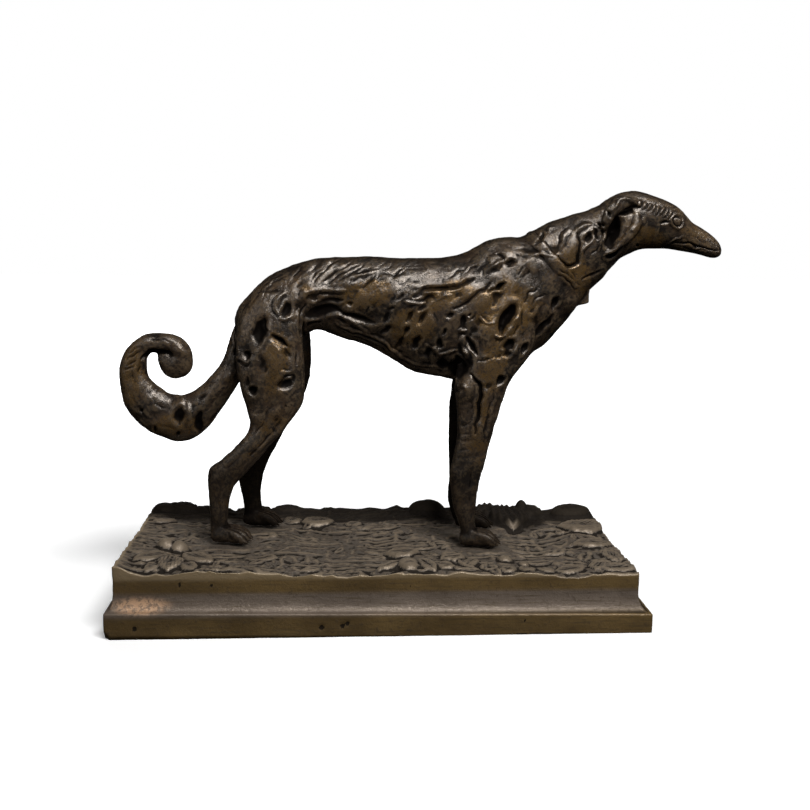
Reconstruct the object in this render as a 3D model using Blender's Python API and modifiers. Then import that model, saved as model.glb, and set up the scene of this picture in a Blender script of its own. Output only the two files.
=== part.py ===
"""A cast bronze borzoi on a moulded bronze plinth, in two pieces. Metres, +Z up, +X the way it looks."""

import math

import bmesh
import bpy
import numpy as np

# Plinth: a flat slab, a hollow moulding and an upright fascia, under a modelled ground.
PLINTH_LENGTH = 0.230
PLINTH_DEPTH = 0.109
SLAB_HEIGHT = 0.0098
SLAB_WEDGE = 0.0015  # the slab is this much thicker at the tail's end and thinner at the head's
SLAB_EDGE_RADIUS = 0.0008
MOULDING_INSET = 0.0044
TOP_TOWARD_TAIL = 0.0010  # the casting's upper part sits a little off the slab's middle
MOULDING_HEIGHT = 0.0080
FASCIA_HEIGHT = 0.0079
GROUND_TRIANGLES = 2700
SKY_TRIANGLES = 3000
P = PLINTH_LENGTH / 230.0  # the tables of the ground are in 230ths of the plinth's length
GROUND_GRID = 1.7 * P
CORNER_CHIP = (-117.5, -56.5, -1.0, 5.5)  # x, y, z, radius

# Borzoi: every measure of the figure is in 160ths of its height, paws to crown.
DOG_HEIGHT = 0.160
DOG_MIDLINE_Y = 0.0040
DOG_AHEAD_X = 0.0
PAW_GAP = 0.0003
DOG_VOXEL = 0.0011
DOG_TRIANGLES = 5900
M = DOG_HEIGHT / 160.0

BRONZE_BROWN = (0.085, 0.062, 0.040, 1.0)
BRONZE_OLIVE = (0.150, 0.112, 0.055, 1.0)

# The line of the back against the line of throat, chest and belly, rump to nose:
# top x, top z, bottom x, bottom z, half width, share of the depth where it is widest.
SPINE = [
    (-65.4, 101.4, -63.0, 90.0, 3.5, 0.50),
    (-62.6, 107.6, -60.0, 82.0, 8.0, 0.50),
    (-56.4, 114.4, -56.0, 78.0, 11.5, 0.50),
    (-48.0, 121.4, -50.0, 79.0, 13.0, 0.50),
    (-38.0, 125.6, -40.0, 88.0, 12.6, 0.45),
    (-27.0, 128.4, -29.0, 96.0, 11.2, 0.45),
    (-16.0, 129.2, -17.0, 92.5, 10.6, 0.45),
    (-5.0, 129.4, -5.0, 89.3, 11.2, 0.45),
    (6.0, 129.0, 6.0, 83.1, 12.6, 0.45),
    (17.0, 128.8, 17.0, 77.0, 13.8, 0.45),
    (28.0, 129.3, 29.0, 74.6, 14.6, 0.45),
    (38.0, 131.6, 41.0, 72.6, 14.8, 0.45),
    (48.0, 136.6, 53.0, 73.0, 14.6, 0.45),
    (56.0, 138.4, 62.0, 76.5, 14.2, 0.47),
    (63.0, 138.6, 69.8, 85.6, 13.6, 0.50),
    (69.0, 141.5, 77.8, 92.0, 12.8, 0.50),
    (75.0, 145.0, 84.4, 99.8, 11.8, 0.50),
    (81.0, 147.1, 90.0, 107.8, 10.8, 0.50),
    (87.0, 149.0, 95.2, 114.6, 9.8, 0.50),
    (93.0, 150.6, 100.0, 119.0, 9.2, 0.50),
    (99.0, 153.3, 104.2, 124.0, 8.8, 0.50),
    (105.0, 157.2, 108.4, 128.8, 8.6, 0.50),
    (111.0, 159.3, 113.8, 131.9, 8.4, 0.48),
    (117.0, 159.3, 119.2, 133.5, 8.2, 0.45),
    (123.0, 157.6, 125.0, 133.8, 7.8, 0.42),
    (129.0, 155.5, 130.5, 133.8, 7.2, 0.40),
    (134.5, 152.8, 135.5, 133.1, 6.2, 0.40),
    (138.5, 149.2, 139.5, 132.5, 5.0, 0.45),
    (141.8, 145.9, 143.0, 131.9, 4.3, 0.50),
    (146.5, 143.3, 147.0, 131.0, 3.8, 0.55),
    (151.2, 140.3, 151.0, 130.0, 3.4, 0.60),
    (154.8, 136.8, 153.9, 130.0, 2.8, 0.60),
    (156.2, 133.4, 155.8, 131.2, 1.2, 0.50),
]

# Legs from the hip or shoulder to the pastern: front x, front z, back x, back z, side, half thickness.
NEAR_FORE_LEG = [
    (64.0, 122.0, 46.0, 122.0, 8.0, 3.0),
    (69.0, 112.0, 41.0, 112.0, 9.6, 5.0),
    (70.0, 101.0, 38.0, 100.0, 10.6, 5.6),
    (68.5, 91.0, 36.0, 88.0, 11.4, 5.6),
    (64.0, 82.5, 34.2, 78.0, 11.9, 5.3),
    (57.6, 73.0, 33.4, 71.0, 12.4, 4.9),
    (53.8, 60.4, 34.4, 62.0, 12.8, 4.4),
    (50.5, 48.5, 35.0, 50.0, 13.0, 4.0),
    (46.6, 33.0, 32.0, 34.0, 13.0, 3.7),
    (44.9, 23.5, 32.4, 25.0, 13.0, 3.5),
    (44.2, 17.0, 33.6, 17.5, 13.0, 3.5),
    (43.8, 11.0, 35.8, 10.5, 13.0, 3.8),
    (44.2, 5.5, 37.6, 3.0, 13.0, 3.8),
]
FAR_FORE_LEG = [
    (64.0, 122.0, 46.0, 122.0, 8.0, 3.0),
    (69.0, 112.0, 41.0, 112.0, 9.6, 5.0),
    (70.0, 101.0, 38.0, 100.0, 10.6, 5.6),
    (68.5, 91.0, 36.0, 88.0, 11.4, 5.6),
    (64.0, 82.5, 35.4, 78.0, 11.9, 5.3),
    (58.0, 73.0, 35.4, 71.0, 12.4, 4.9),
    (55.0, 60.4, 34.2, 62.0, 12.8, 4.4),
    (52.0, 48.5, 33.7, 50.0, 13.0, 4.0),
    (48.6, 33.0, 34.0, 34.0, 13.0, 3.7),
    (46.8, 23.5, 34.2, 25.0, 13.3, 3.5),
    (46.2, 17.0, 34.0, 17.5, 13.7, 3.5),
    (46.0, 11.0, 34.8, 10.5, 14.2, 3.8),
    (46.4, 5.5, 36.6, 3.0, 14.6, 3.8),
]
NEAR_HIND_LEG = [
    (-36.0, 114.0, -54.0, 113.0, 8.0, 3.5),
    (-34.0, 106.0, -61.0, 104.0, 10.0, 5.2),
    (-34.3, 95.0, -63.4, 93.0, 11.2, 5.9),
    (-33.6, 83.0, -63.4, 82.0, 11.8, 6.0),
    (-33.2, 72.5, -62.0, 72.0, 12.2, 5.8),
    (-34.3, 64.5, -59.2, 63.0, 12.4, 5.2),
    (-39.8, 56.6, -57.8, 56.5, 12.6, 4.6),
    (-46.0, 49.3, -59.2, 51.2, 12.8, 4.2),
    (-52.0, 42.0, -65.0, 44.4, 13.0, 3.9),
    (-58.5, 34.6, -71.5, 38.8, 13.0, 3.6),
    (-64.2, 28.2, -76.6, 34.2, 13.0, 3.5),
    (-66.8, 22.0, -77.0, 24.0, 12.6, 3.4),
    (-68.1, 15.0, -76.4, 15.0, 12.1, 3.5),
    (-68.6, 9.0, -76.6, 7.0, 11.5, 3.9),
    (-66.0, 4.6, -76.0, 3.2, 11.2, 4.0),
]
FAR_HIND_LEG = [
    (-35.0, 114.0, -53.0, 113.0, 8.0, 3.5),
    (-32.6, 106.0, -60.0, 104.0, 10.0, 5.2),
    (-31.8, 95.0, -62.5, 93.0, 11.2, 5.9),
    (-31.2, 83.0, -61.0, 83.0, 11.8, 6.0),
    (-32.4, 71.0, -59.8, 73.0, 12.2, 5.8),
    (-36.2, 61.5, -58.6, 64.0, 12.4, 5.2),
    (-41.5, 52.5, -58.2, 55.0, 12.6, 4.6),
    (-46.0, 44.0, -60.4, 47.0, 12.8, 4.2),
    (-50.2, 35.4, -64.0, 39.0, 13.0, 3.9),
    (-53.4, 28.0, -67.6, 31.5, 13.0, 3.6),
    (-55.2, 21.0, -65.9, 21.5, 13.4, 3.5),
    (-55.6, 14.5, -64.3, 13.0, 13.9, 3.6),
    (-55.0, 9.0, -63.8, 7.0, 14.4, 3.9),
    (-53.0, 4.6, -63.2, 3.2, 14.6, 4.0),
]
# The tail's middle line, root to curl: x, z, half height in its own plane, half width.
TAIL = [
    (-54.0, 105.0, 5.0, 4.5),
    (-59.5, 96.0, 6.0, 5.0),
    (-62.6, 86.5, 6.2, 5.2),
    (-68.1, 76.0, 5.8, 5.4),
    (-78.5, 62.9, 7.5, 6.0),
    (-89.2, 56.0, 10.8, 6.4),
    (-99.4, 58.2, 9.7, 6.2),
    (-106.4, 64.6, 8.9, 5.8),
    (-110.2, 72.6, 6.9, 5.2),
    (-110.6, 80.0, 6.1, 4.8),
    (-108.6, 85.8, 5.0, 4.4),
    (-104.2, 89.5, 4.3, 4.2),
    (-98.2, 90.2, 4.7, 4.2),
    (-92.4, 89.5, 4.3, 4.4),
    (-89.4, 85.8, 4.8, 4.6),
    (-89.8, 81.4, 6.1, 4.6),
    (-93.0, 80.0, 6.1, 4.2),
    (-95.6, 82.6, 4.6, 3.6),
    (-97.4, 86.4, 2.6, 2.6),
]

# Thumbed hollows of the modelled coat: x, z, half length, half width, lean in degrees, depth.
HOLLOWS = [
    (-52.6, 97.0, 6.6, 3.4, 75.0, 1.8),
    (-43.6, 91.6, 5.4, 2.2, -42.0, 1.4),
    (-59.0, 86.5, 2.4, 2.0, 0.0, 1.4),
    (-56.0, 71.0, 3.0, 2.4, 20.0, 1.8),
    (-41.4, 74.2, 4.4, 2.6, 20.0, 1.3),
    (-41.0, 106.5, 3.4, 2.4, 85.0, 1.5),
    (-24.5, 106.2, 8.8, 3.2, 8.0, 1.5),
    (-10.5, 102.8, 9.2, 2.2, -20.0, 1.2),
    (55.6, 102.6, 7.6, 3.0, 56.0, 2.6),
    (56.8, 89.5, 4.6, 2.8, 56.0, 2.0),
    (50.0, 117.0, 5.0, 1.8, 25.0, 1.3),
    (58.5, 127.5, 4.2, 1.7, 5.0, 1.4),
    (54.0, 75.0, 3.8, 1.6, 50.0, 1.2),
    (26.5, 93.0, 4.2, 2.0, 75.0, 1.5),
    (31.0, 82.0, 6.6, 4.4, 10.0, 1.6),
    (20.0, 112.5, 6.0, 2.0, 20.0, 1.1),
    (41.0, 90.0, 4.6, 1.8, -70.0, 1.3),
    (73.5, 99.5, 7.0, 1.9, 42.0, 1.3),
    (78.0, 109.3, 3.8, 2.3, 60.0, 1.3),
    (103.2, 141.0, 7.0, 2.8, 70.0, 3.4),
    (105.0, 132.6, 4.6, 1.6, 28.0, 1.3),
    (86.4, 137.0, 5.0, 1.8, 66.0, 1.3),
    (91.5, 134.5, 3.6, 2.0, 60.0, 1.3),
    (-90.0, 57.5, 4.2, 3.1, 80.0, 1.4),
    (-81.3, 54.0, 6.0, 2.2, 85.0, 1.2),
    (-100.5, 85.6, 5.0, 1.9, 10.0, 1.2),
]

# Folded ear: x, z, distance from the middle, radius, along the roll and down the ruff below it.
EAR_ROLL = [
    (115.0, 154.4, 7.0, 1.4),
    (109.6, 154.6, 8.0, 2.3),
    (104.2, 152.4, 9.2, 2.9),
    (100.6, 148.2, 9.8, 2.5),
    (98.6, 142.0, 9.2, 1.4),
]
RUFF = [
    (113.6, 149.6, 7.8, 1.4),
    (113.4, 143.8, 9.0, 1.9),
    (109.4, 138.0, 9.0, 1.6),
    (105.0, 134.0, 8.6, 1.3),
    (99.6, 130.4, 8.2, 1.0),
]

# Eye: x, z, distance from the middle, radius of the ball.
EYE = (133.5, 146.4, 4.3, 2.6)

COLLAR_TOP = (66.6, 140.0)
COLLAR_BOTTOM = (91.2, 111.4)
COLLAR = (12.4, 4.4, 0.8)  # half width, breadth of the band, how far it stands out
TAG_CENTRE = (91.8, 110.9)
TAG_HALF_SIZE = (3.4, 3.4, 3.9)

# Paws, near fore, far fore, near hind, far hind: heel x, side, ground, turn in degrees.
PAWS = [
    (36.6, -12.6, -1.4, -8.0),
    (37.2, 14.6, -1.0, -6.0),
    (-76.0, -11.2, 0.6, -12.0),
    (-64.6, 14.6, 0.6, -4.0),
]
PAW = (18.6, 11.6, 8.6)  # length, width, height
PAW_PAD = [  # ahead of the heel, up, half height, half width
    (0.6, 3.2, 2.4, 3.4),
    (3.0, 3.6, 3.4, 4.4),
    (7.0, 3.8, 3.7, 5.2),
    (11.0, 2.8, 2.7, 5.0),
    (14.0, 1.8, 1.7, 4.2),
]
TOES = 4

# The fold of skin that hangs from the far flank: x, z, side, half height, half width.
FLANK_FOLD = [
    (-27.0, 99.4, 6.0, 3.0, 2.0),
    (-19.6, 96.6, 7.0, 3.4, 2.6),
    (-12.6, 94.2, 7.4, 3.5, 2.8),
    (-6.4, 94.4, 7.0, 3.3, 2.6),
    (2.0, 93.0, 6.0, 3.0, 2.0),
]

# Leaves, shells and mounds of the ground, each an oval dome with ribs along it:
# x, y, half length, half width, height, turn in degrees, ribs.
FORMS = [
    (-98.0, -33.0, 9.0, 5.0, 3.0, 215, 4),
    (-102.5, -26.0, 8.5, 4.0, 2.0, 190, 3),
    (-89.5, -38.0, 8.5, 5.5, 3.2, 270, 4),
    (-96.0, -42.0, 6.0, 3.0, 1.8, 245, 2),
    (-79.0, -32.0, 9.5, 5.5, 3.4, 320, 4),
    (-81.5, -42.0, 6.0, 3.5, 2.2, 300, 3),
    (-105.0, 43.0, 6.0, 6.0, 3.6, 0, 0),
    (-97.0, 44.5, 8.5, 4.4, 4.8, 350, 2),
    (-84.0, 46.0, 9.0, 3.4, 1.8, 355, 2),
    (-104.0, 26.0, 6.5, 5.0, 1.6, 15, 3),
    (-62.0, 48.5, 9.0, 2.5, 2.4, 0, 2),
    (-41.0, 25.5, 5.0, 4.5, 2.6, 70, 4),
    (-28.6, 25.0, 8.6, 6.5, 4.2, 20, 6),
    (-44.0, 45.0, 8.0, 4.0, 2.6, 0, 2),
    (-11.4, 21.6, 4.5, 4.0, 1.6, 40, 3),
    (1.8, 17.0, 9.0, 4.5, 1.6, 10, 3),
    (-4.0, 42.0, 11.0, 4.0, 2.2, 0, 2),
    (26.0, 42.0, 9.5, 6.0, 6.4, 0, 0),
    (57.5, 41.0, 8.0, 7.0, 6.4, 90, 2),
    (66.0, 31.0, 17.0, 9.4, 8.4, 90, 3),
    (76.5, 41.0, 9.0, 7.5, 6.6, 340, 2),
    (98.5, 38.0, 10.5, 6.5, 6.4, 0, 0),
    (99.5, 17.0, 11.5, 9.0, 4.2, 355, 7),
    (99.0, -9.0, 9.5, 5.5, 3.0, 5, 5),
    (104.0, -27.0, 8.0, 4.0, 1.8, 100, 3),
    (94.5, -40.0, 5.0, 4.5, 2.2, 60, 3),
    (101.5, -43.0, 8.0, 4.5, 2.4, 350, 4),
    (81.0, -43.0, 7.5, 4.0, 2.2, 20, 3),
    (70.0, -44.0, 4.5, 3.0, 1.6, 330, 0),
    (9.5, -24.0, 8.0, 6.0, 3.8, 0, 4),
    (3.5, -41.0, 7.0, 2.8, 2.6, 40, 2),
    (11.4, -41.0, 6.5, 4.6, 3.4, 280, 0),
    (19.4, -41.0, 7.5, 3.6, 2.8, 295, 2),
    (27.5, -42.0, 4.5, 4.0, 2.2, 0, 2),
    (31.7, -31.0, 6.5, 5.0, 3.4, 30, 2),
    (39.0, -36.0, 6.5, 2.8, 2.4, 60, 2),
    (36.5, -38.0, 6.0, 2.6, 2.2, 120, 2),
    (46.2, -41.0, 4.6, 4.0, 2.0, 90, 2),
    (54.0, -44.0, 4.4, 3.6, 1.8, 60, 2),
    (62.5, -43.0, 4.5, 3.4, 1.8, 120, 2),
    (-30.0, -36.0, 9.0, 3.0, 1.0, 10, 2),
    (-52.0, -30.0, 8.0, 4.0, 1.2, 350, 3),
]
RIB_DEPTH = 0.22  # as a share of the form's height
# Puffballs, buds and the button: x, y, radius, height.
BALLS = [
    (-94.0, -19.5, 4.7, 5.6),
    (-88.8, -20.5, 4.5, 4.8),
    (-98.0, 43.5, 3.2, 4.0),
    (54.6, -31.5, 3.4, 3.0),
    (62.4, -35.0, 2.4, 1.8),
    (74.5, 43.0, 3.8, 8.2),
]
# How far the ground stands over the fascia's line along its edges, and how far in that reaches.
LEFT_EDGE = [(-50, 2.0), (-25, 2.0), (-5, 1.4), (12, 0.8), (30, 1.6), (50, 1.0)]
RIGHT_EDGE = [(-50, 1.0), (-30, 0.0), (-18, -0.2), (-6, -1.2), (8, -0.8), (18, 0.8), (30, 1.6), (50, 1.2)]
FAR_EDGE = [(-110, 0.6), (-80, 0.6), (-68, -1.0), (-56, 0.6), (-45, 1.4), (-20, 1.3), (12, 1.8), (36, 1.2)]
FAR_EDGE += [(60, 1.4), (85, 0.7), (110, 0.7)]
EDGE_REACH = 14.0
# Broad dips of the fascia's upper edge: x, half width, depth.
EDGE_DIPS = [(-18.0, 30.0, 0.9), (73.0, 15.0, 1.2)]


def clear_scene():
    for obj in list(bpy.data.objects):
        bpy.data.objects.remove(obj, do_unlink=True)


def collection_named(name, hidden=False):
    made = bpy.data.collections.new(name)
    bpy.context.scene.collection.children.link(made)
    made.hide_render = hidden
    return made


def material_named(name, colour, roughness):
    material = bpy.data.materials.new(name)
    material.use_nodes = True
    shader = material.node_tree.nodes["Principled BSDF"]
    shader.inputs["Base Color"].default_value = colour
    shader.inputs["Metallic"].default_value = 1.0
    shader.inputs["Roughness"].default_value = roughness
    material.diffuse_color = colour
    return material


def smooth_rows(rows, steps):
    """Rows of numbers, with steps more between each two, on a curve through all of them."""
    rows = np.array(rows, float)
    padded = np.vstack([2 * rows[0] - rows[1], rows, 2 * rows[-1] - rows[-2]])
    made = []
    for a, b, c, d in zip(padded, padded[1:], padded[2:], padded[3:]):
        for t in np.arange(steps) / steps:
            made.append(
                0.5 * (2 * b + (c - a) * t + (2 * a - 5 * b + 4 * c - d) * t**2
                       + (3 * b - a - 3 * c + d) * t**3)
            )
    made.append(rows[-1])
    return np.array(made)


def rib(top, bottom, half_width, widest, count):
    """A ring from a top point round to a bottom point, widest at that share of its depth."""
    top, bottom = np.array(top, float), np.array(bottom, float)
    turn = 2 * math.pi * np.arange(count) / count
    up = np.cos(turn)
    depth = np.where(up > 0, widest * (1 - up), widest - (1 - widest) * up)
    ring = top + depth[:, None] * (bottom - top)
    ring[:, 1] += half_width * np.sin(turn)
    return ring


def tube_rings(path, count):
    """Rings square to a path of rows x, y, z, half height, half width; the width lies along Y."""
    path = np.array(path, float)
    along = np.gradient(path[:, :3], axis=0)
    along /= np.linalg.norm(along, axis=1)[:, None]
    side = np.array([0.0, 1.0, 0.0]) - along * along[:, 1:2]
    side /= np.linalg.norm(side, axis=1)[:, None]
    over = np.cross(side, along)
    turn = 2 * math.pi * np.arange(count) / count
    return [
        p[:3] + np.outer(np.cos(turn) * p[3], o) + np.outer(np.sin(turn) * p[4], s)
        for p, o, s in zip(path, over, side)
    ]


def loft(mesh, rings):
    """Adds to a bmesh one closed skin over rings of points, in the figure's measure."""
    layers = [[mesh.verts.new(p * M) for p in ring] for ring in rings]
    count = len(layers[0])
    skin = [
        mesh.faces.new((a[i], a[(i + 1) % count], b[(i + 1) % count], b[i]))
        for a, b in zip(layers, layers[1:])
        for i in range(count)
    ]
    skin.append(mesh.faces.new(layers[0][::-1]))
    skin.append(mesh.faces.new(layers[-1]))
    bmesh.ops.recalc_face_normals(mesh, faces=skin)


def add_spine(mesh):
    rows = smooth_rows(SPINE, 4)
    loft(mesh, [rib((r[0], 0, r[1]), (r[2], 0, r[3]), r[4], r[5], 28) for r in rows])


def add_leg(mesh, rows, side):
    """side is -1 for the near leg and 1 for the far one."""
    rings = [
        rib((r[0], side * r[4], r[1]), (r[2], side * r[4], r[3]), r[5], 0.5, 16)
        for r in smooth_rows(rows, 3)
    ]
    loft(mesh, rings)


def turned(rings, x, y, degrees):
    """Rings turned about an upright line through x, y."""
    c, s = math.cos(math.radians(degrees)), math.sin(math.radians(degrees))
    made = []
    for ring in rings:
        dx, dy = ring[:, 0] - x, ring[:, 1] - y
        made.append(np.stack([x + c * dx - s * dy, y + s * dx + c * dy, ring[:, 2]], 1))
    return made


def add_paw(mesh, heel_x, y, ground, turn):
    """A long oval paw: the pad, and toes that rise to a knuckle and come down to a claw."""
    length, width, height = PAW
    pad = [(heel_x + ahead, y, ground + up, high, wide) for ahead, up, high, wide in PAW_PAD]
    loft(mesh, turned(tube_rings(smooth_rows(pad, 3), 16), heel_x, y, turn))
    for i in range(TOES):
        off = (i - (TOES - 1) / 2) / (TOES - 1)
        reach = length - 5.0 * off * off - 1.0
        toe_y = y + off * (width - 3.0)
        knuckle_y = toe_y * 0.92 + y * 0.08
        toe = [
            (heel_x + 5.0, y + off * 5.0, ground + height * 0.72, 1.6, 1.3),
            (heel_x + reach * 0.62, knuckle_y, ground + height * 0.62, 2.1, 1.5),
            (heel_x + reach * 0.86, toe_y, ground + height * 0.42, 2.1, 1.6),
            (heel_x + reach, toe_y, ground + 1.7, 1.5, 1.3),
        ]
        loft(mesh, turned(tube_rings(smooth_rows(toe, 3), 12), heel_x, y, turn))


def add_ears(mesh):
    for side in (-1, 1):
        for rows, flat in ((EAR_ROLL, 0.75), (RUFF, 0.8)):
            path = [(x, side * y, z, r, r * flat) for x, z, y, r in rows]
            loft(mesh, tube_rings(smooth_rows(path, 3), 12))


def add_eyes(mesh):
    x, z, y, radius = EYE
    for side in (-1, 1):
        turn = [math.radians(a) for a in range(15, 180, 30)]
        ball = [
            (x - radius * math.cos(t), side * y, z, radius * math.sin(t), radius * math.sin(t))
            for t in turn
        ]
        loft(mesh, tube_rings(ball, 12))


def add_collar(mesh):
    half_width, band, stands_out = COLLAR
    top, bottom = np.array(COLLAR_TOP), np.array(COLLAR_BOTTOM)
    down = (bottom - top) / np.linalg.norm(bottom - top)
    ahead = np.array([-down[1], down[0]])
    rings = []
    for share in (-0.5, -0.35, 0.0, 0.35, 0.5):
        proud = stands_out * (1 - (2 * abs(share)) ** 4)
        a = top + ahead * share * band - down * proud
        b = bottom + ahead * share * band + down * proud
        rings.append(rib((a[0], 0, a[1]), (b[0], 0, b[1]), half_width + proud, 0.5, 28))
    loft(mesh, rings)
    x, z = TAG_CENTRE
    hx, hy, hz = TAG_HALF_SIZE
    tag = [
        (x - hx, 0, z - 0.8, hz * 0.8, hy),
        (x, 0, z, hz, hy),
        (x + hx, 0, z + 0.8, hz * 0.85, hy * 0.8),
    ]
    loft(mesh, tube_rings(tag, 12))


def dog_shape():
    """All the lofts of the figure as one mesh of overlapping skins, in metres about the ground point."""
    mesh = bmesh.new()
    add_spine(mesh)
    add_leg(mesh, NEAR_FORE_LEG, -1)
    add_leg(mesh, FAR_FORE_LEG, 1)
    add_leg(mesh, NEAR_HIND_LEG, -1)
    add_leg(mesh, FAR_HIND_LEG, 1)
    for row in PAWS:
        add_paw(mesh, *row)
    fold = [(x, y, z, high, wide) for x, z, y, high, wide in FLANK_FOLD]
    loft(mesh, tube_rings(smooth_rows(fold, 4), 16))
    loft(mesh, tube_rings(smooth_rows([(x, 0, z, h, w) for x, z, h, w in TAIL], 4), 20))
    add_ears(mesh)
    add_eyes(mesh)
    add_collar(mesh)
    made = bpy.data.meshes.new("dog_shape")
    mesh.to_mesh(made)
    mesh.free()
    return made


def baked(obj):
    """The object's mesh with its modifiers, in place of the object, which goes."""
    graph = bpy.context.evaluated_depsgraph_get()
    made = bpy.data.meshes.new_from_object(obj.evaluated_get(graph))
    bpy.data.objects.remove(obj, do_unlink=True)
    return made


def points_of(mesh, kind="vertices", what="co"):
    source = getattr(mesh, kind)
    values = np.empty(len(source) * 3, np.float32)
    source.foreach_get(what, values)
    return values.reshape(-1, 3).astype(float)


def thumb_hollows(mesh):
    """Presses the coat's hollows into both flanks, square to the skin."""
    points = points_of(mesh) / M
    normals = np.empty(len(mesh.vertices) * 3, np.float32)
    mesh.vertices.foreach_get("normal", normals)
    normals = normals.reshape(-1, 3).astype(float)
    sunk = np.zeros(len(points))
    for side in (-1, 1):
        facing = np.clip((side * normals[:, 1] - 0.25) / 0.3, 0, 1)
        for x, z, length, width, lean, depth in HOLLOWS:
            turn = math.radians(lean)
            dx, dz = points[:, 0] - x, points[:, 2] - z
            along = (dx * math.cos(turn) + dz * math.sin(turn)) / length
            across = (dz * math.cos(turn) - dx * math.sin(turn)) / width
            share = np.clip(1 - along**2 - across**2, 0, 1)
            outside = (side * points[:, 1] > 3.0) & (facing > 0)
            sunk += np.where(outside, depth * share**1.5 * facing, 0)
    moved = (points - normals * sunk[:, None]) * M
    mesh.vertices.foreach_set("co", moved.astype(np.float32).ravel())
    mesh.update()


def triangle_count(mesh):
    return sum(len(p.vertices) - 2 for p in mesh.polygons)


def thin_out(obj, triangles, source):
    """A Decimate that leaves about this many triangles of the source mesh."""
    decimate = obj.modifiers.new("thin_out", "DECIMATE")
    decimate.ratio = triangles / triangle_count(source)
    decimate.use_collapse_triangulate = True


def build_dog(parts, material):
    rough = bpy.data.objects.new("dog_rough", dog_shape())
    parts.objects.link(rough)
    remesh = rough.modifiers.new("one_skin", "REMESH")
    remesh.mode = "VOXEL"
    remesh.voxel_size = DOG_VOXEL
    soften = rough.modifiers.new("soften", "SMOOTH")
    soften.factor = 0.5
    soften.iterations = 4
    made = baked(rough)
    thumb_hollows(made)
    made.name = "borzoi"
    made.materials.clear()
    made.materials.append(material)
    made.shade_smooth()
    dog = bpy.data.objects.new("borzoi", made)
    parts.objects.link(dog)
    dog.location = (DOG_AHEAD_X, DOG_MIDLINE_Y, paw_level() + PAW_GAP)
    thin_out(dog, DOG_TRIANGLES, made)
    return dog


def moulding_lift(x):
    """How far the mouldings rise or fall at x, because the slab is a wedge."""
    return -SLAB_WEDGE * x / (PLINTH_LENGTH / 2)


def fascia_top():
    return SLAB_HEIGHT + MOULDING_HEIGHT + FASCIA_HEIGHT


def paw_level():
    """The height that the hind paws stand at."""
    return fascia_top() + 0.4 * P


def plinth_profile():
    """Inset and height of the plinth's sides from the underside up; the first stays on the table."""
    turn = [math.radians(a) for a in (0, 45, 90)]
    edge = SLAB_EDGE_RADIUS
    rounded = [(edge * (1 - math.cos(t)), SLAB_HEIGHT - edge * (1 - math.sin(t))) for t in turn]
    reach = MOULDING_INSET - edge
    hollow = [
        (edge + reach * math.sin(t), SLAB_HEIGHT + MOULDING_HEIGHT * (1 - math.cos(t)))
        for t in [math.radians(a) for a in range(15, 91, 15)]
    ]
    return [(0.0, 0.0)] + rounded + hollow + [(MOULDING_INSET, fascia_top() + 12 * P)]


def ground_height(x, y):
    """Height of the modelled ground over arrays of places on the plinth."""
    px, py = x / P, y / P
    swell = 0.4 * np.sin(px * 0.095 + 1.3 * np.sin(py * 0.08)) + 0.3 * np.sin(py * 0.15 + px * 0.06)
    swell = swell + 0.3 * np.sin(px * 0.21 + 0.7) * np.cos(py * 0.12)
    half_x, half_y = PLINTH_LENGTH / P / 2, PLINTH_DEPTH / P / 2
    edges = [(LEFT_EDGE, half_x + px, py), (RIGHT_EDGE, half_x - px, py), (FAR_EDGE, half_y - py, px)]
    for rows, away, place in edges:
        near = np.clip(1.4 - away / EDGE_REACH, 0, 1) ** 2
        level = np.interp(place, [r[0] for r in rows], [r[1] for r in rows])
        swell = swell * (1 - near) + level * near
    for cx, half, depth in EDGE_DIPS:
        swell = swell - depth * np.exp(-(((px - cx) / half) ** 2))
    relief = np.zeros_like(swell)
    for cx, cy, half_length, half_width, height, turn, ribs in FORMS:
        a = math.radians(turn)
        dx, dy = px - cx, py - cy
        u = (dx * math.cos(a) + dy * math.sin(a)) / half_length
        w = (dy * math.cos(a) - dx * math.sin(a)) / half_width
        dome = np.sqrt(np.clip(1 - u**2 - w**2, 0, 1))
        grooves = RIB_DEPTH * 0.5 * (1 + np.cos(math.pi * ribs * w)) if ribs else 0.0
        relief = np.maximum(relief, height * dome * (1 - grooves))
    for cx, cy, radius, height in BALLS:
        away = ((px - cx) ** 2 + (py - cy) ** 2) / radius**2
        relief = np.maximum(relief, height * np.sqrt(np.clip(1 - away, 0, 1)))
    return flatten_under_paws(x, y, fascia_top() + moulding_lift(x) + P * (swell + relief))


def flatten_under_paws(x, y, rise):
    """The ground is level under each paw, and runs back to its own height round it."""
    length, width, _ = PAW
    for heel_x, side, ground, turn in PAWS:
        c, s = math.cos(math.radians(turn)), math.sin(math.radians(turn))
        middle_x = DOG_AHEAD_X + (heel_x + c * length / 2) * M
        middle_y = DOG_MIDLINE_Y + (side + s * length / 2) * M
        along = c * (x - middle_x) + s * (y - middle_y)
        across = c * (y - middle_y) - s * (x - middle_x)
        away = np.hypot(along / (0.62 * length * M), across / (0.70 * width * M))
        hold = np.clip((1.6 - away) / 0.6, 0, 1)
        hold = hold * hold * (3 - 2 * hold)
        rise = rise * (1 - hold) + (paw_level() + ground * M) * hold
    return rise


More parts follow.
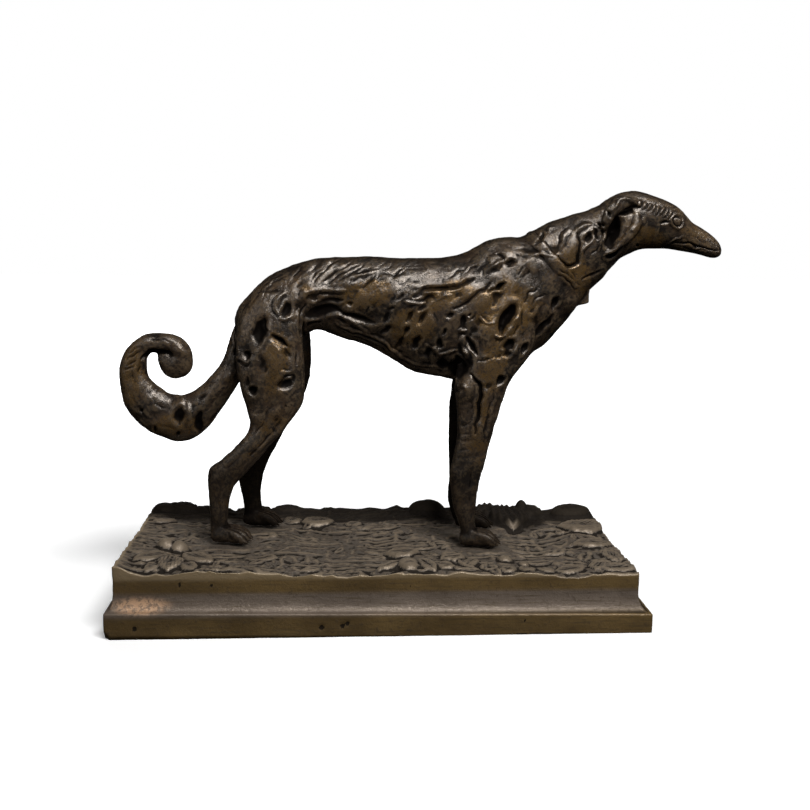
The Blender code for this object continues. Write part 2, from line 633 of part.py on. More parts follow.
def sky_over_ground(tools):
    """The space above the ground as a closed solid, which cuts the plinth's top."""
    margin = 2 * GROUND_GRID
    half_x, half_y = PLINTH_LENGTH / 2 + margin, PLINTH_DEPTH / 2 + margin
    across, deep = round(2 * half_x / GROUND_GRID), round(2 * half_y / GROUND_GRID)
    mesh = bmesh.new()
    bmesh.ops.create_grid(mesh, x_segments=across, y_segments=deep, size=1.0)
    flat = np.array([v.co for v in mesh.verts])
    heights = ground_height(flat[:, 0] * half_x, flat[:, 1] * half_y)
    for vert, height in zip(mesh.verts, heights):
        vert.co = (vert.co.x * half_x, vert.co.y * half_y, height)
    rim = [e for e in mesh.edges if e.is_boundary]
    raised = bmesh.ops.extrude_edge_only(mesh, edges=rim)["geom"]
    top = fascia_top() + 30 * P
    for vert in [g for g in raised if isinstance(g, bmesh.types.BMVert)]:
        vert.co.z = top
    bmesh.ops.contextual_create(mesh, geom=[e for e in mesh.edges if e.is_boundary])
    bmesh.ops.recalc_face_normals(mesh, faces=mesh.faces)
    made = bpy.data.meshes.new("sky")
    mesh.to_mesh(made)
    mesh.free()
    sky = bpy.data.objects.new("sky_over_ground", made)
    tools.objects.link(sky)
    sky.hide_render = True
    sky.display_type = "WIRE"
    thin_out(sky, SKY_TRIANGLES, made)
    return sky


def corner_chip(tools):
    """The bite out of the slab's lower front corner, at the tail's end."""
    x, y, z, radius = CORNER_CHIP
    bpy.ops.mesh.primitive_uv_sphere_add(
        segments=20, ring_count=10, radius=radius * P, location=(x * P, y * P, z * P)
    )
    chip = bpy.context.active_object
    chip.name = "corner_chip"
    for owner in list(chip.users_collection):
        owner.objects.unlink(chip)
    tools.objects.link(chip)
    chip.hide_render = True
    chip.display_type = "WIRE"
    return chip


def build_plinth(parts, tools, material):
    mesh = bmesh.new()
    half_x, half_y = PLINTH_LENGTH / 2, PLINTH_DEPTH / 2
    layers = []
    for inset, height in plinth_profile():
        corners = [(-1, -1), (1, -1), (1, 1), (-1, 1)]
        layer = []
        for sx, sy in corners:
            shift = TOP_TOWARD_TAIL * inset / MOULDING_INSET
            x, y = sx * (half_x - inset) - shift, sy * (half_y - inset)
            layer.append(mesh.verts.new((x, y, height + (moulding_lift(x) if height else 0))))
        layers.append(layer)
    for lower, upper in zip(layers, layers[1:]):
        for i in range(4):
            mesh.faces.new((lower[i], lower[(i + 1) % 4], upper[(i + 1) % 4], upper[i]))
    mesh.faces.new(layers[0][::-1])
    mesh.faces.new(layers[-1])
    made = bpy.data.meshes.new("plinth")
    mesh.to_mesh(made)
    mesh.free()
    made.materials.append(material)
    plinth = bpy.data.objects.new("plinth", made)
    parts.objects.link(plinth)
    for name, cutter in (("ground", sky_over_ground(tools)), ("chip", corner_chip(tools))):
        cut = plinth.modifiers.new(name, "BOOLEAN")
        cut.operation = "DIFFERENCE"
        cut.object = cutter
    return plinth


def main():
    clear_scene()
    parts = collection_named("borzoi_bronze")
    tools = collection_named("cutters", hidden=True)
    build_plinth(parts, tools, material_named("olive_bronze", BRONZE_OLIVE, 0.42))
    build_dog(parts, material_named("brown_bronze", BRONZE_BROWN, 0.38))


main()
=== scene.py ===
"""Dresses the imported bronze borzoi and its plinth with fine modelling, patina, light and camera."""

import math

import bmesh
import bpy
import numpy as np
from mathutils import Matrix, Vector

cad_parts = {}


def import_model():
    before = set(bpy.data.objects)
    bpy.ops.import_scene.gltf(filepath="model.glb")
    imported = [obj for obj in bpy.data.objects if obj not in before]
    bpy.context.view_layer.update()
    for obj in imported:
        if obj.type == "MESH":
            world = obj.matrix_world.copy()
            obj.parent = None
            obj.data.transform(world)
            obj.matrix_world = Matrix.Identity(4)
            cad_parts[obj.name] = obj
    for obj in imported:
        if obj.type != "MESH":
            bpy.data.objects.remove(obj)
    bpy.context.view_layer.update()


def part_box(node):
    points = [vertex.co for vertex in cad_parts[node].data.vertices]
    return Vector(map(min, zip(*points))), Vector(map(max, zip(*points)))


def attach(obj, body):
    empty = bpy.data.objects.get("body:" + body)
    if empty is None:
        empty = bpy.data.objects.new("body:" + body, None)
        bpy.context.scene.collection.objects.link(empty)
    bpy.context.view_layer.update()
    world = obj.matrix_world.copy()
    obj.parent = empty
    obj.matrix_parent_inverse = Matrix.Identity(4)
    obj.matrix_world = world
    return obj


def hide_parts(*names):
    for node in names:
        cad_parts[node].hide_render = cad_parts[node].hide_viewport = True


# Plinth in metres, as in the part's source.
PLINTH_LENGTH = 0.230
PLINTH_DEPTH = 0.109
SLAB_HEIGHT = 0.0098
SLAB_WEDGE = 0.0015
SLAB_EDGE_RADIUS = 0.0008
MOULDING_INSET = 0.0044
TOP_TOWARD_TAIL = 0.0010
MOULDING_HEIGHT = 0.0080
FASCIA_HEIGHT = 0.0079
GROUND_STEP = 0.00066
CORNER_ROUND = 0.0009
P = PLINTH_LENGTH / 230  # one unit of the tables for the plinth, near enough a millimetre
# The bitten corner: x, y, z and radius of the ball that bites it.
CORNER_CHIP = (-117.5, -56.5, -1.0, 5.5)
# How high the ground stands along its edges: place along the edge, height.
LEFT_EDGE = [(-50, 2.0), (-25, 2.0), (-5, 1.4), (12, 0.8), (30, 1.6), (50, 1.0)]
RIGHT_EDGE = [
    (-50, 1.0), (-30, 0.0), (-18, -0.2), (-6, -1.2), (8, -0.8), (18, 0.8), (30, 1.6), (50, 1.2),
]
FAR_EDGE = [
    (-110, 0.6), (-80, 0.6), (-68, -1.0), (-56, 0.6), (-45, 1.4), (-20, 1.3), (12, 1.8), (36, 1.2),
    (60, 1.4), (85, 0.7), (110, 0.7),
]
EDGE_REACH = 14.0
# Dips along the front: x, half width, depth.
EDGE_DIPS = [(-18.0, 30.0, 0.9), (73.0, 15.0, 1.2)]

# Borzoi, in 160ths of its height, as in the part's source.
DOG_HEIGHT = 0.160
DOG_MIDLINE_Y = 0.0040
DOG_AHEAD_X = 0.0
PAW_GAP = 0.0003
M = DOG_HEIGHT / 160
DOG_VOXEL = 0.00050
DOG_TRIANGLES = 190000
BACK_ROOF = 1.22  # more than one makes the back a narrower ridge

# Rump to nose: top x, top z, bottom x, bottom z, half width, share of the depth where it is widest.
SPINE = [
    (-65.4, 101.4, -63, 90, 3.5, 0.5), (-62.6, 107.6, -60, 82, 8, 0.5),
    (-56.4, 114.4, -56, 78, 11.5, 0.5), (-48, 121.4, -50, 79, 13, 0.5),
    (-38, 125.6, -40, 88, 12.6, 0.45), (-27, 128.4, -29, 96, 11.2, 0.45),
    (-16, 129.2, -17, 92.5, 10.6, 0.45), (-5, 129.4, -5, 89.3, 11.2, 0.45),
    (6, 129, 6, 83.1, 12.6, 0.45), (17, 128.8, 17, 77, 13.8, 0.45),
    (28, 129.3, 29, 74.6, 14.6, 0.45), (38, 131.6, 41, 72.6, 14.8, 0.45),
    (48, 136.6, 53, 73, 14.6, 0.45), (56, 138.4, 62, 76.5, 14.2, 0.47),
    (63, 138.6, 69.8, 85.6, 13.6, 0.5), (69, 141.5, 77.8, 92, 12.8, 0.5),
    (75, 145, 84.4, 99.8, 11.8, 0.5), (81, 147.1, 90, 107.8, 10.8, 0.5),
    (87, 149, 95.2, 114.6, 9.8, 0.5), (93, 150.6, 100, 119, 9.2, 0.5),
    (99, 153.3, 104.2, 124, 8.8, 0.5), (105, 157.2, 108.4, 128.8, 8.6, 0.5),
    (111, 159.3, 113.8, 131.9, 8.4, 0.48), (117, 159.3, 119.2, 133.5, 8.2, 0.45),
    (123, 157.6, 125, 133.8, 7.8, 0.42), (129, 155.5, 130.5, 133.8, 7.2, 0.4),
    (134.5, 152.8, 135.5, 133.1, 6.2, 0.4), (138.5, 149.2, 139.5, 132.5, 5, 0.45),
    (141.8, 145.9, 143, 131.9, 4.3, 0.5), (146.5, 143.3, 147, 131, 3.8, 0.55),
    (151.2, 140.3, 151, 130, 3.4, 0.6), (154.8, 136.8, 153.9, 130, 2.8, 0.6),
    (156.2, 133.4, 155.8, 131.2, 1.2, 0.5),
]

# Legs: front x, front z, back x, back z, side, half thickness.
SHOULDER = [
    (64, 122, 46, 122, 8, 3), (69, 112, 41, 112, 9.6, 5), (70, 101, 38, 100, 10.6, 5.6),
    (68.5, 91, 36, 88, 11.4, 5.6),
]
NEAR_FORE_LEG = SHOULDER + [
    (64, 82.5, 34.2, 78, 11.9, 5.3), (57.6, 73, 33.4, 71, 12.4, 4.9),
    (53.8, 60.4, 34.4, 62, 12.8, 4.4), (50.5, 48.5, 35, 50, 13, 4), (46.6, 33, 32, 34, 13, 3.7),
    (44.9, 23.5, 32.4, 25, 13, 3.5), (44.2, 17, 33.6, 17.5, 13, 3.5),
    (43.8, 11, 35.8, 10.5, 13, 3.8), (44.2, 5.5, 37.6, 3, 13, 3.8),
]
FAR_FORE_LEG = SHOULDER + [
    (64, 82.5, 35.4, 78, 11.9, 5.3), (58, 73, 35.4, 71, 12.4, 4.9), (55, 60.4, 34.2, 62, 12.8, 4.4),
    (52, 48.5, 33.7, 50, 13, 4), (48.6, 33, 34, 34, 13, 3.7), (46.8, 23.5, 34.2, 25, 13.3, 3.5),
    (46.2, 17, 34, 17.5, 13.7, 3.5), (46, 11, 34.8, 10.5, 14.2, 3.8),
    (46.4, 5.5, 36.6, 3, 14.6, 3.8),
]
NEAR_HIND_LEG = [
    (-36, 114, -54, 113, 8, 3.5), (-34, 106, -61, 104, 10, 5.2), (-34.3, 95, -63.4, 93, 11.2, 5.9),
    (-33.6, 83, -63.4, 82, 11.8, 6), (-33.2, 72.5, -62, 72, 12.2, 5.8),
    (-34.3, 64.5, -59.2, 63, 12.4, 5.2), (-39.8, 56.6, -57.8, 56.5, 12.6, 4.6),
    (-46, 49.3, -59.2, 51.2, 12.8, 4.2), (-52, 42, -65, 44.4, 13, 3.9),
    (-58.5, 34.6, -71.5, 38.8, 13, 3.6), (-64.2, 28.2, -76.6, 34.2, 13, 3.5),
    (-66.8, 22, -77, 24, 12.6, 3.4), (-68.1, 15, -76.4, 15, 12.1, 3.5),
    (-68.6, 9, -76.6, 7, 11.5, 3.9), (-66, 4.6, -76, 3.2, 11.2, 4),
]
FAR_HIND_LEG = [
    (-35, 114, -53, 113, 8, 3.5), (-32.6, 106, -60, 104, 10, 5.2),
    (-31.8, 95, -62.5, 93, 11.2, 5.9), (-31.2, 83, -61, 83, 11.8, 6),
    (-32.4, 71, -59.8, 73, 12.2, 5.8), (-36.2, 61.5, -58.6, 64, 12.4, 5.2),
    (-41.5, 52.5, -58.2, 55, 12.6, 4.6), (-46, 44, -60.4, 47, 12.8, 4.2),
    (-50.2, 35.4, -64, 39, 13, 3.9), (-53.4, 28, -67.6, 31.5, 13, 3.6),
    (-55.2, 21, -65.9, 21.5, 13.4, 3.5), (-55.6, 14.5, -64.3, 13, 13.9, 3.6),
    (-55, 9, -63.8, 7, 14.4, 3.9), (-53, 4.6, -63.2, 3.2, 14.6, 4),
]
# The tail's middle line: x, z, half height in its own plane, half width.
TAIL = [
    (-54, 105, 5, 4.5), (-59.5, 96, 6, 5), (-62.6, 86.5, 6.2, 5.2), (-68.1, 76, 5.8, 5.4),
    (-78.5, 62.9, 7.5, 6), (-89.2, 56, 10.8, 6.4), (-99.4, 58.2, 9.7, 6.2),
    (-106.4, 64.6, 8.9, 5.8), (-110.2, 72.6, 6.9, 5.2), (-110.6, 80, 6.1, 4.8),
    (-108.6, 85.8, 5, 4.4), (-104.2, 89.5, 4.3, 4.2), (-98.2, 90.2, 4.7, 4.2),
    (-92.4, 89.5, 4.3, 4.4), (-89.4, 85.8, 4.8, 4.6), (-89.8, 81.4, 6.1, 4.6), (-93, 80, 6.1, 4.2),
    (-95.6, 82.6, 4.6, 3.6), (-97.4, 86.4, 2.6, 2.6),
]
# The ears and the ruff behind them: x, z, y, radius.
EAR_ROLL = [
    (115, 154.4, 7, 1.4), (109.6, 154.6, 8, 2.3), (104.2, 152.4, 9.2, 2.9),
    (100.6, 148.2, 9.8, 2.5), (98.6, 142, 9.2, 1.4),
]
RUFF = [
    (113.6, 149.6, 7.8, 1.4), (113.4, 143.8, 9, 1.9), (109.4, 138, 9, 1.6), (105, 134, 8.6, 1.3),
    (99.6, 130.4, 8.2, 1),
]
# One eye: x, z, y, radius.
EYE = (133.5, 146.4, 4.3, 2.6)
# Collar: x and z of its top and bottom, then its half width, the band's width and how far it is proud.
COLLAR_TOP = (66.6, 140.0)
COLLAR_BOTTOM = (91.2, 111.4)
COLLAR = (12.4, 4.4, 0.25)
TAG_CENTRE = (91.6, 111.0)
TAG_HALF_SIZE = (3.8, 3.6)  # in x and in y
# Paws: x of the heel, side, ground under it over the paw level, turn in degrees.
PAWS = [
    (36.6, -12.6, -1.4, -8), (37.2, 14.6, -1, -6), (-76, -11.2, 0.6, -12), (-64.6, 14.6, 0.6, -4),
]
PAW = (18.6, 11.6, 8.6)  # length, width, height
PAW_PAD = [  # ahead of the heel, up, half height, half width
    (0.6, 3.2, 2.4, 3.4), (3, 3.6, 3.4, 4.4), (7, 3.8, 3.7, 5.2), (11, 2.8, 2.7, 5),
    (14, 1.8, 1.7, 4.2),
]
TOES = 4
# The fold of skin from belly to thigh: x, z, y, half height, half width.
FLANK_FOLD = [
    (-27, 99.4, 6, 3, 2), (-19.6, 96.6, 7, 3.4, 2.6), (-12.6, 94.2, 7.4, 3.5, 2.8),
    (-6.4, 94.4, 7, 3.3, 2.6), (2, 93, 6, 3, 2),
]

# Hollows thumbed into the coat, in the side view: x, z, half length, half width, lean, depth.
PITS = [
    (-41, 106.5, 3.2, 2.2, 85, 1.5), (-52.6, 97, 6.4, 3.2, 75, 1.7),
    (-43.8, 92.3, 5.2, 1.9, -42, 1.3), (-41.2, 87.2, 2.6, 1.6, -70, 0.8),
    (-59, 86.5, 1.9, 1.6, 0, 1.4), (-56, 71, 2.5, 2, 20, 1.8), (-41.4, 74.2, 4.2, 2.4, 20, 1.2),
    (-35, 116, 4.4, 2.2, 60, 0.6), (-24.5, 106.2, 8.8, 3, 8, 1.4),
    (-10.5, 102.8, 9.2, 1.8, -20, 1.2), (-13, 109, 1.6, 1, 30, 0.7), (18.5, 108, 3.4, 1.3, 40, 0.8),
    (18.4, 103.2, 3.8, 1.4, 58, 1), (12.6, 103.4, 3, 1.2, 50, 0.8), (3, 103, 3.8, 1.5, 60, 0.6),
    (5, 107.2, 2.6, 1.1, 25, 0.5), (2.5, 97.5, 2.8, 1.2, 50, 0.7), (9, 92, 3.4, 1.4, 60, 0.9),
    (16, 92, 3.8, 1.6, 65, 1.1), (11.8, 97.2, 3, 1.3, 60, 1.1), (20, 111.6, 4.8, 1.9, 20, 1),
    (30.5, 104.5, 1.6, 1.3, 0, 0.9), (36.4, 102.6, 2.4, 1.6, 70, 0.9),
    (26, 91.5, 2.2, 1.6, 80, 1.6), (28, 96.7, 1.8, 1, 60, 1), (21.5, 87.5, 3.6, 1.6, 80, 1),
    (55.8, 103.6, 6.6, 2.9, 60, 2.6), (54, 98, 2.6, 1.8, 40, 1), (57.2, 91.2, 3.2, 2.4, 20, 2),
    (56, 87.4, 2.2, 1.8, 0, 1), (64, 90.2, 3, 1.5, 60, 1.5), (53.5, 75.5, 3, 1.5, 50, 1.5),
    (53.2, 117.2, 2.4, 1.3, 20, 1.5), (51.4, 112, 4.2, 2.4, 60, 0.7), (57.6, 127.6, 3, 1.3, 5, 1.2),
    (74, 100, 5.6, 2, 45, 1.4), (36, 80.6, 6.4, 4.2, 65, 2), (29, 81.4, 4.6, 3.4, 10, 1.2),
    (36.3, 99.4, 5, 2.4, 80, 0.8), (92.2, 138.4, 2.6, 1.6, 40, 1.3), (78, 109.3, 3.6, 2.1, 60, 1.3),
    (103.6, 141.4, 7.4, 2.9, 76, 3.4), (102.4, 137.4, 3.4, 1.8, 60, 1.2),
    (116, 135.5, 1.2, 1, 0, 0.7), (-90, 57.5, 4, 2.9, 80, 1.5), (-81.3, 54, 6.2, 2.1, 85, 1.5),
    (-107.4, 60.4, 1.7, 0.9, 35, 0.8), (-101.3, 51.2, 2.4, 0.9, 80, 0.9),
    (-90.6, 49.6, 1.8, 0.9, 60, 0.9),
]

# Broad rounded swellings: x, z, half length, half width, lean, height.
SWELLS = [
    (84.4, 135.2, 8, 4.4, 76, 1.2), (91.2, 141, 5.2, 3.6, 35, 0.9), (68, 127.4, 10, 5.4, 8, 1),
    (49.6, 126.8, 5.6, 3.4, 45, 0.9), (61.6, 123, 4.4, 2.2, 70, 0.5), (-51, 112, 11, 7, 55, 1),
    (-46, 84, 13, 6, 85, 0.9), (38.2, 70.5, 6.4, 3.8, 70, 1.2), (47, 96, 10, 5.4, 70, 0.8),
    (36.4, 97.6, 2.2, 1.7, 0, 0.9), (110, 142.5, 7.4, 3, 80, 0.7), (118, 141, 5.6, 1.5, 85, 0.3),
    (123.8, 141, 5.6, 1.5, 85, 0.3), (116.5, 145.6, 2.6, 1.6, 80, 0.4), (4, 114, 15, 6, 10, 0.8),
    (-16, 118, 10, 5, 20, 0.7), (-46, 50, 10, 4, 55, 0.6), (67, 107, 8, 4, 60, 0.6),
]

# Grooves drawn in the coat: half width, depth, then the places x, z that each one runs through.
GROOVES = [
    (1.1, 1.3, [(68.5, 136), (71, 137.5), (72.5, 140.5)]),
    (1.2, 1.4, [(79, 130.4), (81, 127.2), (84, 126.4), (87.4, 127.4), (88, 133), (87.6, 140)]),
    (1.3, 1.6, [(94.8, 142.5), (96, 140), (96.8, 138)]), (1, 1.2, [(99.5, 150), (100.5, 147)]),
    (0.9, 1.1, [(97, 145), (98.5, 143.5)]),
    (1.1, 1.5, [(106.5, 149), (110.5, 150.5), (112, 150.3)]),
    (1.4, 1.7, [(100, 130.5), (104, 131), (108, 134.5)]),
    (0.9, 0.64, [(90, 120), (94, 122), (98, 124)]), (0.8, 0.56, [(79, 125), (84, 122), (89, 118)]),
    (0.8, 0.48, [(78.4, 122.4), (83, 119.6), (87.6, 115.6)]),
    (1.5, 1.9, [(38, 94.5), (40, 92), (42.5, 87.5)]),
    (1.5, 1.9, [(40, 78), (44, 74), (45, 70), (43.5, 58), (42.5, 52)]),
    (0.9, 0.5, [(43, 84), (46, 84.5), (50, 86)]), (0.9, 1, [(38.5, 104), (40, 105.5)]),
    (1, 1.1, [(52, 131), (54, 130.5), (54.5, 129)]),
    (1.4, 1.2, [(-33.5, 108), (-35, 102), (-34.5, 98), (-33, 90), (-32, 80), (-32.5, 72)]),
    (0.9, 0.64, [(-51, 102.5), (-50, 99), (-49, 96)]),
    (0.9, 0.9, [(-47, 95.5), (-43, 92.5), (-40, 90)]),
    (0.9, 0.64, [(-45, 73.5), (-42, 77.5), (-39, 78), (-37.5, 75)]),
    (0.8, 0.56, [(-37, 88), (-37, 82)]), (1.4, 1.1, [(-28, 109), (-22, 110.3), (-16, 110)]),
    (0.8, 0.48, [(-17, 128.5), (-25, 124), (-29, 118)]),
    (0.8, 0.4, [(-20, 128), (-28, 123), (-31, 117)]),
    (0.8, 0.48, [(-12, 127), (-22, 122), (-25, 118)]),
    (0.8, 0.4, [(-10, 126), (-19, 121), (-22, 118)]),
    (0.8, 0.48, [(-7, 126), (-14, 121), (-20, 118.5)]), (0.8, 0.4, [(-35, 125), (-39, 119)]),
    (0.8, 0.4, [(-45, 121), (-52, 115), (-56, 108)]),
    (0.8, 0.32, [(-42, 121), (-48, 116), (-52, 109)]),
    (0.9, 0.56, [(-8, 116), (-4, 119.5), (-2, 122)]),
    (0.8, 0.48, [(6, 120.5), (8, 124), (10, 125)]), (0.9, 0.9, [(7, 110.5), (10, 113.5)]),
    (0.9, 0.48, [(-5, 108), (-6, 105)]),
    (1.3, 1.2, [(14, 112.5), (18, 113.5), (20, 115.5), (25, 116.5), (31, 117), (36, 118), (41, 120.5)]),
    (1, 0.9, [(32, 107), (38, 110), (41, 112.5), (45, 115.5), (48, 119)]),
    (0.9, 0.56, [(42, 105), (39, 102)]), (1, 1, [(46, 115), (50, 116), (54.5, 118)]),
    (0.8, 0.64, [(55, 126), (60, 126)]), (0.7, 0.4, [(45, 122), (45.5, 124.5)]),
    (0.8, 0.4, [(37, 122.5), (43, 126.5)]), (0.8, 0.32, [(30, 121), (38, 125.5)]),
    (0.8, 0.48, [(60.5, 121.5), (63, 126)]), (0.7, 0.4, [(65, 122), (65.5, 123.5)]),
    (0.8, 0.48, [(63, 110), (66, 114), (70, 117)]), (0.8, 0.48, [(66, 108), (69, 112), (73, 114)]),
    (0.7, 0.4, [(94, 131), (99, 137)]), (0.7, 0.32, [(110, 133), (108, 137), (112, 142)]),
    (0.9, 0.64, [(-64.5, 100), (-65, 90), (-64, 80), (-63, 75)]),
    (1.7, 1.7, [(-106, 83), (-101, 86.6), (-95, 86.2)]), (0.9, 0.64, [(-99, 82), (-101, 84.5)]),
    (0.8, 0.4, [(-104, 92), (-100, 92.5), (-92, 91)]), (0.7, 0.48, [(-112, 86), (-106, 88.5)]),
    (0.7, 0.48, [(-113, 83), (-107, 86)]), (0.7, 0.48, [(-113.5, 80), (-108, 83)]),
    (0.7, 0.48, [(-114, 78), (-110, 80)]), (1, 0.22, [(-70, 70), (-78, 60), (-84, 56)]),
    (1, 0.18, [(-74, 72), (-82, 63), (-88, 61)]), (1, 0.18, [(-104, 72), (-101, 64), (-95, 61)]),
    (1, 0.22, [(-112, 70), (-108, 61), (-100, 54), (-92, 52)]), (0.9, 0.23, [(36, 55), (41, 56.5)]),
    (0.9, 0.23, [(36, 51), (41, 52.5)]), (0.9, 0.23, [(36.5, 47.5), (42, 49)]),
    (0.9, 0.23, [(35, 43), (41, 44.6)]), (0.9, 0.18, [(35, 40), (41, 41.5)]),
    (0.9, 0.23, [(50, 66), (47, 55), (46, 46)]), (0.9, 0.18, [(42, 38), (41, 28), (40.5, 18)]),
    (0.8, 0.23, [(-70, 9), (-66, 3)]), (0.8, 0.23, [(-66, 10), (-62, 4)]),
    (0.8, 0.23, [(-62, 9), (-59, 5)]), (0.9, 0.23, [(-48, 63), (-53, 55), (-57, 50)]),
    (0.9, 0.23, [(-42, 60), (-50, 50), (-57, 42)]), (0.9, 0.23, [(-60, 44), (-66, 38), (-71, 36)]),
    (0.8, 0.23, [(-70, 30), (-72, 22), (-71.5, 13)]),
]

# Raised strokes: half width, height, then the places x, z.
RIDGES = [
    (1, 0.9, [(74.5, 141), (77, 142.5)]),
    (1.2, 1, [(79.3, 133), (80.5, 136), (82, 140), (84, 142)]),
    (0.9, 0.7, [(101, 150), (107, 155.5), (116, 152.5)]), (1, 0.8, [(78, 107), (81, 110)]),
    (0.9, 0.8, [(35, 87), (38.5, 82)]), (0.8, 0.7, [(50, 95.6), (53, 94.8), (55.6, 95.6)]),
    (1.3, 0.8, [(-42, 114), (-46, 108), (-44, 104.5)]),
    (1.2, 0.5, [(-43.5, 103), (-41, 102.4), (-38.5, 103.5)]),
    (1.6, 0.9, [(-35, 111), (-31, 114.5), (-24, 115.2), (-16, 114)]),
    (1.2, 0.7, [(-14, 119.5), (-8, 121.5), (-2, 123.5)]),
    (2.2, 0.5, [(-4, 117), (2, 119), (8, 120)]),
    (1.3, 0.8, [(-24, 103.5), (-16, 103), (-10, 99), (-5, 96)]),
    (1.1, 0.7, [(10, 110), (15, 109.5), (19, 110)]),
    (1, 0.8, [(-20, 100), (-10, 96.5), (0, 93), (5, 89), (10, 84.5), (15, 82), (20, 81), (30, 79)]),
    (0.8, 0.6, [(-18, 97), (-9, 94), (0, 90.6), (6, 86)]),
    (1.2, 0.8, [(-35, 98), (-32, 101.5), (-27, 102)]), (1.3, 0.5, [(25, 111.4), (30, 113.8)]),
    (1.4, 0.6, [(34.5, 97.6), (37.6, 98.4)]),
    (1.2, 1, [(20, 91), (25, 88), (26.5, 86.5), (30, 87.4), (34, 89)]),
    (1.4, 1, [(36, 95), (37.4, 89), (38, 83)]), (1.4, 0.9, [(48, 123.5), (51, 126.4), (54.5, 128)]),
    (1.3, 0.7, [(60, 131.5), (70, 131), (76, 130.5)]),
    (0.9, 0.6, [(44, 103.5), (47, 101), (50, 100.5)]),
    (1.3, 0.8, [(61.5, 107), (59, 100), (55, 94.6)]),
    (1.1, 0.7, [(60.5, 92.5), (59.5, 88), (56.5, 85)]),
    (1.5, 1, [(86.5, 141), (90, 143.2), (94, 144.8)]),
    (0.9, 0.7, [(88.4, 131), (91, 134), (93.6, 136.5)]),
    (1, 0.6, [(97, 133), (99, 138), (99.4, 142)]),
    (0.9, 0.5, [(-46, 74), (-43, 79), (-38.5, 79.8)]),
    (1, 0.7, [(-106, 85.6), (-108.5, 80), (-108.5, 74)]),
    (1.1, 0.6, [(-62, 84.6), (-59, 83.6), (-57, 84.6)]),
    (1.3, 0.6, [(-86, 52), (-85, 58), (-86, 64)]), (1.2, 0.5, [(37, 74), (38.4, 71)]),
    (1, 0.5, [(52, 72), (50, 60), (47.6, 48)]),
    (1, 0.5, [(-37, 64), (-45, 53), (-55, 43), (-63, 33)]),
]

# The coat's lie: x, z, direction in degrees, length of a stroke, its depth.
COAT_LIE = [
    (-60, 105, 62, 11, 0.04), (-50, 118, 35, 14, 0.1), (-35, 122, 40, 15, 0.1),
    (-15, 123, 42, 15, 0.1), (5, 124, 30, 13, 0.1), (25, 124, 18, 11, 0.07), (45, 130, 25, 9, 0.07),
    (60, 133, 10, 10, 0.04), (-15, 108, -5, 9, 0.04), (-5, 97, -20, 10, 0.04),
    (10, 90, -35, 9, 0.04), (25, 82, -12, 9, 0.04), (10, 112, 30, 8, 0.04), (25, 105, 35, 8, 0.04),
    (45, 105, 40, 8, 0.04), (60, 115, 60, 8, 0.04), (68, 100, 50, 9, 0.04), (55, 90, 62, 8, 0.04),
    (45, 75, 75, 9, 0.04), (40, 50, 82, 8, 0.04), (38, 25, 86, 8, 0.04), (-45, 105, 60, 8, 0.04),
    (-55, 85, 75, 9, 0.04), (-40, 80, 85, 9, 0.04), (-45, 60, 60, 8, 0.04), (-62, 42, 45, 8, 0.04),
    (-72, 20, 82, 7, 0.04), (80, 125, 55, 9, 0.04), (90, 135, 50, 9, 0.04), (95, 125, 45, 8, 0.04),
    (105, 150, 15, 7, 0.04), (120, 145, -10, 7, 0.03), (145, 138, -25, 6, 0.03),
    (-70, 75, 55, 8, 0.04), (-85, 58, 30, 8, 0.04), (-100, 55, -20, 8, 0.04),
    (-109, 70, 60, 7, 0.04), (-105, 88, 20, 7, 0.04), (-92, 84, -40, 7, 0.04),
]
COAT_SEED = 5
COAT_STROKES = 5000  # fine hairs
COAT_DABS = 650  # shallow dabs of the thumb between them
DAB_DEPTH = 0.50  # of the deepest dabs; some are raised instead
PIT_DEPTH = 1.30  # every depth in PITS is times this
# Shares of painted shade on the inner sides of the legs, of darkening toward the feet, and of painted
# shade on what faces straight up.
INNER_SHADE, FEET_DARKENING, TOP_SHADE = 0.9, 0.58, 0.68

# Where the patina is worn to gold, and on the tail, throat and cheek also painted light: x, z, half
# length, half width, lean, share.
GOLD = [
    (-6, 113, 15, 7, 10, 1), (14, 99, 13, 9, -20, 1), (30, 114, 13, 6, 15, 0.8),
    (56, 106, 16, 13, 60, 1), (51, 84, 14, 7, 75, 0.8), (-45, 84, 20, 6.5, 85, 0.62),
    (-52, 50, 16, 6, 50, 0.35), (-111, 74, 15, 6, 80, 0.9), (-90, 53, 14, 6, 10, 0.8),
    (86, 125, 13, 8, -50, 0.75), (121, 139, 11, 6.5, -20, 0.75), (144, 138, 12, 5, -20, 0.3),
    (44, 50, 26, 5, 84, 0.35), (-68, 24, 16, 5, 80, 0.2),
]

